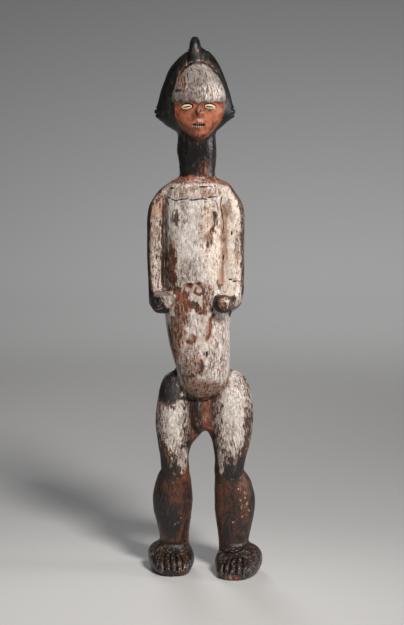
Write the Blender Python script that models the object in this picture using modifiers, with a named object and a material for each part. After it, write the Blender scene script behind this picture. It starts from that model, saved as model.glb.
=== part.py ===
"""Standing reliquary figure, carved from one piece of wood, with a cowrie shell set in each eye.

The figure faces -Y, with +Z up and its own left hand towards +X. The soles stand on z = 0, and the
origin is the middle of the figure's footprint box. Free forms are lofts through measured sections,
given in thousandths of the figure's height, so the carving keeps its proportions at any size.
"""

import math

import bmesh
import bpy
import numpy as np
from mathutils import Matrix, Vector

# Driving sizes, in metres
FIGURE_HEIGHT = 0.825
SHELL_LENGTH = 0.0165
SHELL_HEIGHT = 0.0086
SHELL_THICKNESS = 0.0080
SHELL_SLIT_WIDTH = 0.0012
SHELL_SLIT_DEPTH = 0.0012
SOCKET_CLEARANCE = 0.0004

SHARE = FIGURE_HEIGHT / 1000

# Resolution of the carved solid
VOXELS_IN_HEIGHT = 330
FIGURE_FACES_KEPT = 0.033
RING_POINTS = 40
RING_SPACING = 4.0

# Sections are (height, centre x, centre y, half width, depth to the front, depth to the back)
TORSO = [
    (741, -9, 2, 30, 28, 28),
    (736, -9, 1, 44, 36, 36),
    (729, -9, 0, 54, 43, 42),
    (718, -9, 0, 59, 46, 45),
    (700, -10, 0, 61, 48, 46),
    (640, -12, 0, 61, 52, 46),
    (580, -12, 0, 59, 53, 43),
    (520, -10, 0, 60, 53, 40),
    (485, -8, 0, 61, 54, 38),
    (440, -5.5, 0, 57.5, 57, 36),
    (400, -0.5, -2, 52.5, 58, 34),
    (377, 2, -4, 48, 55, 30),
    (359, 1.5, -8, 41.5, 47, 26),
    (346, 1, -14, 32, 36, 20),
    (338, 1, -19, 22, 26, 14),
    (333, 1, -22, 10, 15, 8),
]
NECK = [
    (856, -10, 4, 31, 29, 33),
    (817, -9.5, 3, 34, 31, 34),
    (791, -10, 2, 36.5, 33, 34),
    (765, -9.5, 1, 33.7, 32, 33),
    (735, -9, 0, 32.3, 32, 33),
    (712, -9, 0, 34, 34, 35),
]
COIFFURE = [
    (971, -9, 4, 12, 10, 18),
    (966, -9.5, 4, 24, 22, 32),
    (954, -11.5, 4, 37, 31, 42),
    (939, -13.5, 4, 47, 36, 49),
    (924, -14, 4, 53, 39, 53),
    (896, -14, 4, 63, 41, 57),
    (872, -13.5, 4, 70, 41, 58),
    (861, -13, 4, 72.5, 40, 56),
    (851, -13, 4, 70, 38, 52),
    (837, -11.5, 3, 52, 33, 42),
    (823, -9.5, 3, 34, 29, 33),
]
FOREHEAD = [
    (952, -8, -8, 12, 18, 10),
    (943, -8, -8, 25, 29, 20),
    (925, -7, -8, 38, 38, 24),
    (902, -6.5, -8, 46, 43.5, 24),
    (886, -6.5, -8, 49.5, 45.5, 24),
    (881, -6.5, -8, 49, 45, 24),
]
LOWER_FACE = [
    (890, -6.5, -8, 49, 35, 24),
    (862, -6.5, -8, 48.5, 35.5, 24),
    (843, -6.5, -8, 40.5, 37.5, 22),
    (826, -6.5, -8, 27, 36.5, 20),
    (816, -6.5, -8, 15, 30, 14),
    (811, -6.5, -8, 6, 22, 8),
]
RIGHT_UPPER_ARM = [
    (725, -56, 2, 12, 18, 20),
    (712, -64, 2, 15, 22, 25),
    (696, -76, 1, 16, 25, 28),
    (682, -83, 1, 16.5, 27, 30),
    (660, -84.5, 1, 16, 27, 30),
    (600, -84.5, 1, 15.8, 27, 30),
    (540, -84, 1, 16, 27, 30),
    (514, -82.5, 0, 16.5, 26, 28),
    (500, -78, 0, 13.5, 22, 24),
    (490, -74, 0, 8, 12, 14),
]
LEFT_UPPER_ARM = [
    (732, 33, 1, 14, 30, 26),
    (724, 40, 1, 15, 37, 28),
    (712, 46, 0, 18, 40, 29),
    (688, 56, 0, 20, 42, 30),
    (666, 58.5, 0, 20.5, 42, 30),
    (600, 58.5, 0, 20, 40, 30),
    (540, 58.5, 0, 20, 38, 30),
    (514, 57, 0, 19, 34, 28),
    (500, 54, 0, 15, 24, 22),
    (490, 50, 0, 8, 12, 12),
]
PELVIS = [
    (392, -1, 4, 42, 24, 30),
    (370, 1, 4, 56, 26, 42),
    (340, 2, 4, 60, 28, 52),
    (310, 3, 4, 58, 28, 54),
    (287, 4, 2, 46, 26, 46),
    (272, 7, 0, 22, 24, 34),
    (266, 8.5, 0, 6, 16, 22),
]
# The arch between the legs springs from these two
RIGHT_ARCH = [
    (290, -12, 0, 20, 18, 26),
    (276, -13, 0, 19.5, 24, 28),
    (262, -16, 0, 17, 26, 28),
    (252, -21, 0, 13, 24, 26),
    (240, -27, 0, 9, 22, 24),
    (226, -32, 0, 8, 18, 20),
]
LEFT_ARCH = [
    (290, 25, 0, 21, 18, 26),
    (276, 26, 0, 20, 24, 28),
    (262, 29, 0, 18, 26, 28),
    (252, 31, 0, 14.5, 24, 26),
    (236, 34, 0, 13, 22, 24),
    (222, 36, 0, 12, 18, 20),
]
RIGHT_THIGH = [
    (375, -45, 8, 12, 12, 20),
    (366, -49, 7, 22, 21, 32),
    (348, -51, 5, 27.5, 29, 42),
    (324, -52, 3, 30.5, 36, 44),
    (301, -52.5, 2, 32, 39, 44),
    (280, -53, 1, 32.7, 39, 42),
    (242, -51, -1, 30, 37, 36),
    (211, -51, -3, 25.7, 33, 29),
    (188, -49.5, -3, 25.7, 31, 27),
    (170, -49, -2, 23, 27, 25),
]
LEFT_THIGH = [
    (377, 48, 6, 14, 13, 20),
    (368, 54, 6, 25, 23, 33),
    (350, 57, 4, 31, 31, 42),
    (326, 58, 1, 34.5, 37, 44),
    (301, 58.5, -1, 36.5, 40, 44),
    (272, 57, -3, 36.4, 40, 42),
    (242, 54.5, -6, 34.4, 38, 36),
    (211, 53, -10, 29, 33, 29),
    (188, 50.5, -12, 27.5, 31, 27),
    (170, 50, -12, 24, 27, 25),
]
RIGHT_CALF = [
    (193, -50.5, 2, 21, 25, 25),
    (186, -52, 4, 27, 30, 33),
    (176, -53, 5, 31.5, 32, 38),
    (150, -55, 6, 36.3, 34, 43),
    (135, -55.5, 6, 38.2, 34, 43),
    (112, -55.5, 6, 36.6, 33, 40),
    (90, -54, 5, 32.4, 31, 34),
    (67, -53, 4, 28.3, 28, 29),
    (52, -52.3, 4, 26.8, 27, 28),
    (36, -52, 4, 28, 28, 29),
]
LEFT_CALF = [
    (193, 51.5, -8, 22, 25, 25),
    (184, 54.5, -6, 29, 30, 33),
    (173, 57, -6, 33.5, 32, 38),
    (154, 60, -7, 37, 34, 43),
    (135, 61.8, -8, 38.6, 34, 43),
    (108, 61.6, -9, 37, 33, 40),
    (82, 60.7, -11, 32.6, 31, 34),
    (60, 59.7, -13, 28.8, 28, 29),
    (47, 59, -14, 26.8, 27, 28),
    (33, 59, -14, 28, 28, 29),
]

# Sections across a form that lies front to back are
# (y, centre x, centre height, half width, up, down)
RIGHT_FOREARM = [
    (16, -82, 514, 12, 14, 16),
    (4, -83, 514, 16, 18, 22),
    (-20, -80, 514, 18, 18, 19),
    (-40, -76, 513, 19.5, 17, 18),
    (-56, -73.5, 511, 20.5, 17, 18.5),
    (-68, -73, 511, 18.5, 15, 16.5),
    (-76, -73, 510, 11, 9, 10),
]
LEFT_FOREARM = [
    (16, 58, 516, 12, 14, 16),
    (4, 58, 516, 16, 17, 22),
    (-20, 54, 515, 17.5, 17, 20),
    (-40, 46, 513, 17.5, 15, 18),
    (-54, 40, 511, 17.5, 16, 18),
    (-66, 38, 511, 16, 14, 16),
    (-74, 38, 510, 9, 8, 10),
]
CREST = [
    (-31, -12.5, 950, 5, 16, 16),
    (-27, -12.5, 950, 8.5, 34, 18),
    (-18, -12.5, 950, 10, 45, 20),
    (0, -12.5, 950, 10.5, 50, 20),
    (22, -12.5, 950, 10.5, 48, 20),
    (42, -12.5, 948, 9.5, 34, 20),
    (56, -12.5, 940, 8, 18, 20),
    (66, -12.5, 922, 6, 12, 22),
]
# A foot's sections run from heel to toes about its own ankle, before the foot is turned inwards
FOOT = [
    (42, 0, 16, 12, 12, 20),
    (34, 0, 20, 29, 25, 24),
    (14, 0, 22, 43, 31, 26),
    (-12, 0, 20, 43.5, 31, 24),
    (-40, 0, 14, 38, 23, 18),
    (-60, 0, 10, 30, 15, 14),
    (-73, 0, 8, 18, 9, 12),
    (-78, 0, 7, 8, 5, 10),
]
RIGHT_FOOT_PLACE = (-59, 4)
LEFT_FOOT_PLACE = (70, -26)
RIGHT_TOE_IN = math.radians(5)
LEFT_TOE_IN = math.radians(-11)
TOES = 5
TOE_SPREAD = math.radians(13)

# The face is laid out from the hairline and the chin
HAIRLINE = 947
CHIN = 813
FACE_X = -6.5
BROW = (HAIRLINE + CHIN) / 2
BELOW_BROW = BROW - CHIN
EYE_LINE = BROW - BELOW_BROW * 0.13
NOSE_BASE = BROW - BELOW_BROW / 3
MOUTH_LINE = BROW - BELOW_BROW * 0.62
EYE_SPREAD = 21.0
EYE_PLANE = -41.0

WOOD_BROWN = (0.16, 0.085, 0.05, 1)
SHELL_CREAM = (0.80, 0.74, 0.60, 1)


def clear_scene():
    for obj in list(bpy.data.objects):
        bpy.data.objects.remove(obj, do_unlink=True)


def new_collection(name):
    collection = bpy.data.collections.new(name)
    bpy.context.scene.collection.children.link(collection)
    return collection


def new_material(name, colour, roughness, metallic=0.0):
    material = bpy.data.materials.new(name)
    material.use_nodes = True
    shader = material.node_tree.nodes["Principled BSDF"]
    shader.inputs["Base Color"].default_value = colour
    shader.inputs["Roughness"].default_value = roughness
    shader.inputs["Metallic"].default_value = metallic
    return material


def eased(places, values, at):
    """A smooth curve through the values that never overshoots them: monotone cubic pieces."""
    places, values = np.asarray(places, float), np.asarray(values, float)
    steps = np.diff(places)
    slopes = np.diff(values) / steps
    both = slopes[:-1] * slopes[1:]
    inner = np.where(both > 0, 2 * both / np.where(both > 0, slopes[:-1] + slopes[1:], 1), 0)
    tangents = np.concatenate([slopes[:1], inner, slopes[-1:]])
    i = np.clip(np.searchsorted(places, at) - 1, 0, len(steps) - 1)
    t = (at - places[i]) / steps[i]
    return (
        values[i] * (2 * t**3 - 3 * t**2 + 1)
        + values[i + 1] * (3 * t**2 - 2 * t**3)
        + steps[i] * tangents[i] * (t**3 - 2 * t**2 + t)
        + steps[i] * tangents[i + 1] * (t**3 - t**2)
    )


def loft(name, sections, collection, squareness=2.2, upright=True):
    """A closed body through sections. Upright ones are stacked in height, others from front to back."""
    table = np.array(sorted(sections), float)
    count = max(2, round((table[-1, 0] - table[0, 0]) / RING_SPACING)) + 1
    at = np.linspace(table[0, 0], table[-1, 0], count)
    _, centre_a, centre_b, half, near, far = [at] + [eased(table[:, 0], c, at) for c in table.T[1:]]
    turn = np.linspace(0, 2 * math.pi, RING_POINTS, endpoint=False)
    cos = np.sign(np.cos(turn)) * np.abs(np.cos(turn)) ** (2 / squareness)
    sin = np.sign(np.sin(turn)) * np.abs(np.sin(turn)) ** (2 / squareness)
    across = centre_a[:, None] + half[:, None] * cos
    if upright:
        deep = centre_b[:, None] + np.where(sin < 0, near[:, None], far[:, None]) * sin
        points = np.stack([across, deep, np.broadcast_to(at[:, None], across.shape)], -1)
    else:
        high = centre_b[:, None] + np.where(sin > 0, near[:, None], far[:, None]) * sin
        points = np.stack([across, np.broadcast_to(at[:, None], across.shape), high], -1)
    body = bmesh.new()
    rings = [[body.verts.new(p) for p in ring * SHARE] for ring in points]
    for low, high in zip(rings, rings[1:]):
        for j in range(RING_POINTS):
            k = (j + 1) % RING_POINTS
            body.faces.new((low[j], low[k], high[k], high[j]))
    body.faces.new(rings[0])
    body.faces.new(rings[-1])
    bmesh.ops.recalc_face_normals(body, faces=body.faces)
    return link(name, body, collection)


def link(name, body, collection):
    mesh = bpy.data.meshes.new(name)
    body.to_mesh(mesh)
    body.free()
    obj = bpy.data.objects.new(name, mesh)
    collection.objects.link(obj)
    return obj


def ball(name, centre, radii, collection, turn=0.0):
    """An ellipsoid, placed and sized in thousandths of the height and turned about the vertical."""
    body = bmesh.new()
    bmesh.ops.create_uvsphere(body, u_segments=20, v_segments=12, radius=1)
    size = Matrix.Diagonal([r * SHARE for r in radii] + [1])
    place = Matrix.Translation([c * SHARE for c in centre])
    bmesh.ops.transform(body, matrix=place @ Matrix.Rotation(turn, 4, "Z") @ size, verts=body.verts)
    return link(name, body, collection)


def rod(name, points, thickness, collection, taper=()):
    """A round bar along the points, as a curve made a mesh, for grooves and slender forms."""
    data = bpy.data.curves.new(name, "CURVE")
    data.dimensions = "3D"
    data.bevel_depth = thickness * SHARE
    data.bevel_resolution = 2
    data.use_fill_caps = True
    spline = data.splines.new("POLY")
    spline.points.add(len(points) - 1)
    for i, (point, place) in enumerate(zip(spline.points, points)):
        point.co = (*(c * SHARE for c in place), 1)
        point.radius = taper[i] if taper else 1
    curve = bpy.data.objects.new(name, data)
    collection.objects.link(curve)
    mesh = bpy.data.meshes.new_from_object(curve.evaluated_get(bpy.context.evaluated_depsgraph_get()))
    bpy.data.objects.remove(curve)
    body = bmesh.new()
    body.from_mesh(mesh)
    bmesh.ops.remove_doubles(body, verts=body.verts, dist=0.00001)
    bmesh.ops.recalc_face_normals(body, faces=body.faces)
    bpy.data.meshes.remove(mesh)
    return link(name, body, collection)


def foot_point(place, toe_in, along, across, height):
    """A point of the foot in the figure's own axes: along is towards the toes."""
    x = across * math.cos(toe_in) + along * math.sin(toe_in)
    y = across * math.sin(toe_in) - along * math.cos(toe_in)
    return (place[0] + x, place[1] + y, height)


def make_head(forms):
    loft("coiffure", COIFFURE, forms, squareness=1.9)
    loft("crest", CREST, forms, squareness=2.6, upright=False)
    loft("forehead", FOREHEAD, forms, squareness=2.2)
    loft("lower_face", LOWER_FACE, forms, squareness=2.1)
    bridge = (FACE_X, EYE_PLANE + 1, BROW + 4)
    tip = (FACE_X, EYE_PLANE - 6, NOSE_BASE + 5)
    rod("nose", [bridge, tip, (FACE_X, EYE_PLANE + 2, NOSE_BASE - 2)], 7, forms, (0.5, 1, 0.7))
    ball("lips", (FACE_X, EYE_PLANE + 1, MOUTH_LINE), (19, 9, 9.5), forms)
    ball("chin", (FACE_X, EYE_PLANE + 3, CHIN + 9), (13, 8, 8), forms)
    for side, ear_x in (("right", -83.5), ("left", 57.5)):
        ball(f"{side}_ear", (ear_x, 6, 860), (5, 10, 11), forms)


def make_body(forms):
    loft("neck", NECK, forms)
    loft("torso", TORSO, forms, squareness=2.4)
    for side, arm, forearm in (
        ("right", RIGHT_UPPER_ARM, RIGHT_FOREARM),
        ("left", LEFT_UPPER_ARM, LEFT_FOREARM),
    ):
        loft(f"{side}_upper_arm", arm, forms, squareness=3)
        loft(f"{side}_forearm", forearm, forms, squareness=2.3, upright=False)
    loft("pelvis", PELVIS, forms)
    loft("right_arch", RIGHT_ARCH, forms)
    loft("left_arch", LEFT_ARCH, forms)
    ball("right_buttock", (-28, 34, 318), (33, 34, 42), forms)
    ball("left_buttock", (36, 32, 318), (35, 34, 42), forms)
    rod("groin", [(-8, -18, 338), (-8, -29, 312), (-9, -34, 284), (-9, -32, 277)], 9, forms, (1, 1, 1, 0.5))
    ball("right_breast", (-49, -44, 668), (7, 7, 13), forms)
    ball("left_breast", (26, -46, 668), (7, 7, 13), forms)


def make_legs(forms):
    for side, thigh, calf, place, toe_in in (
        ("right", RIGHT_THIGH, RIGHT_CALF, RIGHT_FOOT_PLACE, RIGHT_TOE_IN),
        ("left", LEFT_THIGH, LEFT_CALF, LEFT_FOOT_PLACE, LEFT_TOE_IN),
    ):
        loft(f"{side}_thigh", thigh, forms)
        loft(f"{side}_calf", calf, forms)
        foot = loft(f"{side}_foot", FOOT, forms, squareness=2.5, upright=False)
        foot.rotation_euler.z = toe_in
        foot.location = (place[0] * SHARE, place[1] * SHARE, 0)


def make_cutters(cutters):
    """Grooves and hollows that the knife cut into the carved form."""
    ball("mouth_slot", (FACE_X, EYE_PLANE - 8, MOUTH_LINE), (11.5, 9, 3), cutters)
    ball("navel", (-4, -58, 424), (4, 7, 6), cutters)
    for name, x, height in (("inner", -1, 968), ("outer", 8.5, 966), ("right", -27, 962)):
        arc = [math.radians(a) for a in range(-50, 131, 12)]
        track = [(x, 2 + math.sin(a) * 42, height - 40 + math.cos(a) * 41) for a in arc]
        rod(f"hair_groove_{name}", track, 2.4, cutters)
    for side, x in (("right", -88), ("left", 62)):
        for notch, height in (("upper", 866), ("lower", 856)):
            rod(f"{side}_ear_{notch}", [(x, -8, height), (x, 20, height)], 2.2, cutters)
    for side, x in (("right", -71), ("left", 38)):
        for finger in range(3):
            height = 504 + finger * 7
            track = [(x - 16, -70, height), (x, -77, height + 1), (x + 16, -70, height)]
            rod(f"{side}_finger_groove_{finger + 1}", track, 1.8, cutters)
    for side, place, toe_in in (
        ("right", RIGHT_FOOT_PLACE, RIGHT_TOE_IN),
        ("left", LEFT_FOOT_PLACE, LEFT_TOE_IN),
    ):
        for toe in range(1, TOES):
            fan = (toe - TOES / 2) * TOE_SPREAD
            track = []
            for along, height in ((30, 44), (52, 29), (70, 17), (86, 4), (90, -8)):
                across = math.sin(fan) * (along - 8)
                track.append(foot_point(place, toe_in, along * math.cos(fan), across, height))
            rod(f"{side}_toe_groove_{toe}", track, 2.6, cutters, (0.5, 1, 1, 1, 1))
    body = bmesh.new()
    bmesh.ops.create_cube(body, size=1)
    ground = Matrix.Translation((0, 0, -0.15 * FIGURE_HEIGHT)) @ Matrix.Scale(0.3 * FIGURE_HEIGHT, 4)
    bmesh.ops.transform(body, matrix=ground, verts=body.verts)
    link("ground", body, cutters)


def shell_body(name, grown, collection):
    """A cowrie as it shows, base outwards: an egg-shaped oval, larger by the clearance for a socket."""
    body = bmesh.new()
    bmesh.ops.create_uvsphere(body, u_segments=24, v_segments=14, radius=0.5)
    size = (SHELL_LENGTH + 2 * grown, SHELL_THICKNESS + 2 * grown, SHELL_HEIGHT + 2 * grown)
    bmesh.ops.transform(body, matrix=Matrix.Diagonal((*size, 1)), verts=body.verts)
    return link(name, body, collection)


def set_shells(parts, cutters, slits, material):
    """A shell in each eye, its slit across, and a socket cut for it with the named clearance."""
    shells = []
    for side, sign in (("right", -1), ("left", 1)):
        place = Vector((FACE_X + sign * EYE_SPREAD, EYE_PLANE + 1.5, EYE_LINE)) * SHARE
        tilt = (0, sign * math.radians(8), 0)
        shell = shell_body(f"eye_shell_{side}", 0, parts)
        socket = shell_body(f"socket_{side}", SOCKET_CLEARANCE, cutters)
        slit = shell_body(f"slit_{side}", 0, slits)
        slit.scale = (0.8, 1, SHELL_SLIT_WIDTH / SHELL_HEIGHT)
        for obj in (shell, socket, slit):
            obj.location = place
            obj.rotation_euler = tilt
        slit.location = place - Vector((0, SHELL_THICKNESS - SHELL_SLIT_DEPTH, 0))
        cut = shell.modifiers.new("slit", "BOOLEAN")
        cut.object = slit
        shell.data.materials.append(material)
        shells.append(shell)
    return shells


def join_forms(forms, collection):
    """All carved forms as one mesh of overlapping bodies, which the voxel remesh then fuses."""
    bpy.context.view_layer.update()
    body = bmesh.new()
    for obj in list(forms.objects):
        mesh = obj.data.copy()
        mesh.transform(obj.matrix_world)
        body.from_mesh(mesh)
        bpy.data.meshes.remove(mesh)
        bpy.data.objects.remove(obj)
    return link("figure", body, collection)


def carve(figure, cutters):
    """Fuses the forms, thins the mesh, then cuts the grooves, the sockets and the flat soles."""
    fuse = figure.modifiers.new("fuse", "REMESH")
    fuse.mode = "VOXEL"
    fuse.voxel_size = FIGURE_HEIGHT / VOXELS_IN_HEIGHT
    soften = figure.modifiers.new("soften", "SMOOTH")
    soften.factor = 0.5
    soften.iterations = 2
    thin = figure.modifiers.new("thin", "DECIMATE")
    thin.ratio = FIGURE_FACES_KEPT
    cut = figure.modifiers.new("cut", "BOOLEAN")
    cut.operand_type = "COLLECTION"
    cut.collection = cutters


def hide_helpers(*collections):
    for collection in collections:
        for obj in collection.objects:
            obj.hide_render = True
            obj.display_type = "WIRE"


def centre_on_origin(figure, collections):
    """Moves everything sideways so that the figure's box is centred over the origin."""
    bpy.context.view_layer.update()
    solid = figure.evaluated_get(bpy.context.evaluated_depsgraph_get())
    corners = np.array([solid.matrix_world @ Vector(c) for c in solid.bound_box])
    middle = (corners.min(0) + corners.max(0)) / 2
    frame = bpy.data.objects.new("figure_frame", None)
    collections[0].objects.link(frame)
    for collection in collections:
        for obj in collection.objects:
            if obj is not frame:
                obj.parent = frame
    frame.location = (-middle[0], -middle[1], 0)


def main():
    clear_scene()
    parts = new_collection("reliquary_figure")
    forms = new_collection("carved_forms")
    cutters = new_collection("knife_cuts")
    slits = new_collection("shell_slits")
    wood = new_material("painted_wood", WOOD_BROWN, 0.6)
    shell = new_material("cowrie_shell", SHELL_CREAM, 0.3)
    make_head(forms)
    make_body(forms)
    make_legs(forms)
    figure = join_forms(forms, parts)
    figure.data.materials.append(wood)
    make_cutters(cutters)
    set_shells(parts, cutters, slits, shell)
    carve(figure, cutters)
    hide_helpers(cutters, slits)
    centre_on_origin(figure, (parts, cutters, slits))


main()
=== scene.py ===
import bmesh
import bpy
import numpy as np
from mathutils import Matrix, Vector


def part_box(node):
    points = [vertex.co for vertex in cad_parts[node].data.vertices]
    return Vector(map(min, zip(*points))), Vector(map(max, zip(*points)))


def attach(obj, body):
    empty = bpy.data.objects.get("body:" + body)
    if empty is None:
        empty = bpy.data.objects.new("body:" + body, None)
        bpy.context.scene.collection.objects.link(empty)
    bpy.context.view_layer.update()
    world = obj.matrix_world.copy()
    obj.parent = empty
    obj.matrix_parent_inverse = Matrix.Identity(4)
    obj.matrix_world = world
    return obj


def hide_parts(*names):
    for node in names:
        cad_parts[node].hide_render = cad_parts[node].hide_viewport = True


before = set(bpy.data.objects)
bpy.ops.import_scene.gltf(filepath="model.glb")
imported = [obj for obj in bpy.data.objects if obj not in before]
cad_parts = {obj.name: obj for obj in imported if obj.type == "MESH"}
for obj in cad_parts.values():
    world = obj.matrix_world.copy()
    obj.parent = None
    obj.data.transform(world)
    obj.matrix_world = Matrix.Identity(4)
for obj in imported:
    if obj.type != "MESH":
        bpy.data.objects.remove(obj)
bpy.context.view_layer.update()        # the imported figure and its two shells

print("frame loaded")

figure = {
    "height": 0.825,          # metres, from the soles to the top of the crest
    "voxel": 0.0029,          # metres, the mesh that the fused forms are given
    "ringPoints": 64,
    "ringSpacing": 2.0,       # thousandths of the height
}
share = figure["height"] / 1000

# The forms are stacks of rounded-square rings, in thousandths of the height, with the figure facing -y.
# An upright ring is (height, centre x, centre y, half width, depth to the front, depth to the back).
# A lying ring is (y, centre x, centre height, half width, up, down). Squareness 2 gives an ellipse.
head = {
    "coiffure": {"squareness": 1.9, "rings": [
        (977, -4, 4, 9.5, 8, 14), (972, -7.5, 4, 20.5, 15, 25), (966, -8.5, 4, 27.5, 22, 32),
        (954, -10.5, 4, 38.5, 29, 42), (939, -12.5, 4, 48.5, 33, 49), (924, -12.5, 4, 55, 35, 53),
        (896, -12.8, 4, 64.5, 36, 57), (872, -12.8, 4, 70.5, 36, 58), (861, -13, 4, 72.5, 35, 56),
        (851, -13.5, 4, 69.5, 34, 52), (837, -13.5, 3, 54.5, 31, 42), (823, -10.5, 3, 35.5, 29, 33)]},
    "crest": {"squareness": 3.0, "lying": True, "rings": [
        (-31, -13, 950, 6, 16, 16), (-27, -13, 950, 9.5, 34, 18), (-18, -13, 950, 11, 45, 20),
        (0, -13, 950, 11.5, 50, 20), (22, -13, 950, 11.5, 48, 20), (42, -13, 948, 10.5, 34, 20),
        (56, -13, 940, 8.5, 18, 20), (66, -13, 922, 6, 12, 22)]},
    "forehead": {"squareness": 2.3, "rings": [
        (952, -8, -8, 12, 18, 10), (943, -8, -8, 25, 29, 20), (925, -7, -8, 38, 38, 24),
        (902, -6.5, -8, 47, 43.5, 24), (886, -6.5, -8, 50.5, 45.5, 24), (880.5, -6.5, -8, 50, 45, 24)]},
    "lowerFace": {"squareness": 2.1, "rings": [
        (890, -6.5, -8, 49.5, 35, 24), (862, -6.5, -8, 49, 35.5, 24), (843, -6.5, -8, 41, 37.5, 22),
        (826, -6.5, -8, 27, 36.5, 20), (816, -6.5, -8, 15, 30, 14), (811, -6.5, -8, 6, 22, 8)]},
    "neck": {"squareness": 2.2, "rings": [
        (856, -10, 4, 31, 29, 33), (817, -9.5, 3, 34, 31, 34), (791, -10, 2, 36.5, 33, 34),
        (765, -9.5, 1, 33.7, 32, 33), (735, -9, 0, 32.3, 32, 33), (712, -9, 0, 34, 34, 35)]},
}
body = {
    "torso": {"squareness": 2.4, "rings": [
        (741, -9, 2, 30, 28, 28), (736, -9, 1, 44, 36, 36), (729, -9, 0, 54, 43, 42),
        (718, -9, 0, 59, 46, 45), (700, -10, 0, 61, 48, 46), (640, -12, 0, 61, 52, 46),
        (580, -12, 0, 59, 53, 43), (520, -10, 0, 60, 53, 40), (485, -8, 0, 61, 54, 38),
        (440, -5.5, 0, 57.5, 57, 36), (400, -0.5, -2, 52.5, 58, 34), (377, 2, -4, 48, 55, 30),
        (359, 1.5, -8, 41.5, 47, 26), (346, 1, -14, 32, 36, 20), (338, 1, -19, 22, 26, 14),
        (333, 1, -22, 10, 15, 8)]},
    "rightUpperArm": {"squareness": 3.2, "rings": [
        (725, -57, 2, 12.5, 18, 20), (712, -66, 2, 17, 22, 25), (696, -77, 1, 17, 25, 28),
        (682, -83, 1, 16.5, 27, 30), (655, -85.2, 1, 17, 27, 30), (600, -85.4, 1, 17, 27, 30),
        (540, -84, 1, 16, 27, 30), (514, -82.5, 0, 16.5, 26, 28), (500, -78, 0, 13.5, 22, 24),
        (490, -74, 0, 8, 12, 14)]},
    "leftUpperArm": {"squareness": 3.2, "rings": [
        (732, 33, 1, 14, 30, 26), (724, 39.5, 1, 14.5, 37, 28), (712, 45, 0, 17.5, 40, 29),
        (688, 56, 0, 20, 42, 30), (666, 58.5, 0, 20.5, 42, 30), (600, 58.5, 0, 20, 40, 30),
        (540, 58.5, 0, 20, 38, 30), (514, 57, 0, 19, 34, 28), (500, 54, 0, 15, 24, 22),
        (490, 50, 0, 8, 12, 12)]},
    "rightForearm": {"squareness": 2.4, "lying": True, "rings": [
        (16, -82, 514, 12, 14, 16), (4, -83, 514, 16, 18, 22), (-20, -80, 514, 18, 18, 19),
        (-40, -76, 513, 19.5, 17, 18), (-56, -73.5, 511, 20.5, 17, 18.5), (-68, -73, 511, 18.5, 15, 16.5),
        (-76, -73, 510, 11, 9, 10)]},
    "leftForearm": {"squareness": 2.4, "lying": True, "rings": [
        (16, 58, 516, 12, 14, 16), (4, 58, 516, 16, 17, 22), (-20, 54, 515, 17.5, 17, 20),
        (-40, 46, 513, 17.5, 15, 18), (-54, 40, 511, 17.5, 16, 18), (-66, 38, 511, 16, 14, 16),
        (-74, 38, 510, 9, 8, 10)]},
    "pelvis": {"squareness": 2.2, "rings": [
        (392, -1, 4, 42, 24, 30), (370, 1, 4, 56, 26, 42), (340, 2, 4, 60, 28, 52),
        (310, 3, 4, 58, 28, 54), (287, 4, 2, 46, 26, 46), (272, 7, 0, 22, 24, 34), (266, 8.5, 0, 6, 16, 22)]},
    "rightArch": {"squareness": 2.2, "rings": [
        (290, -12, 0, 20, 18, 26), (276, -13, 0, 19.5, 24, 28), (262, -16, 0, 17, 26, 28),
        (252, -21, 0, 13, 24, 26), (240, -27, 0, 9, 22, 24), (226, -32, 0, 8, 18, 20)]},
    "leftArch": {"squareness": 2.2, "rings": [
        (290, 25, 0, 21, 18, 26), (276, 26, 0, 20, 24, 28), (262, 29, 0, 18, 26, 28),
        (252, 31, 0, 14.5, 24, 26), (236, 34, 0, 13, 22, 24), (222, 36, 0, 12, 18, 20)]},
}
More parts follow.
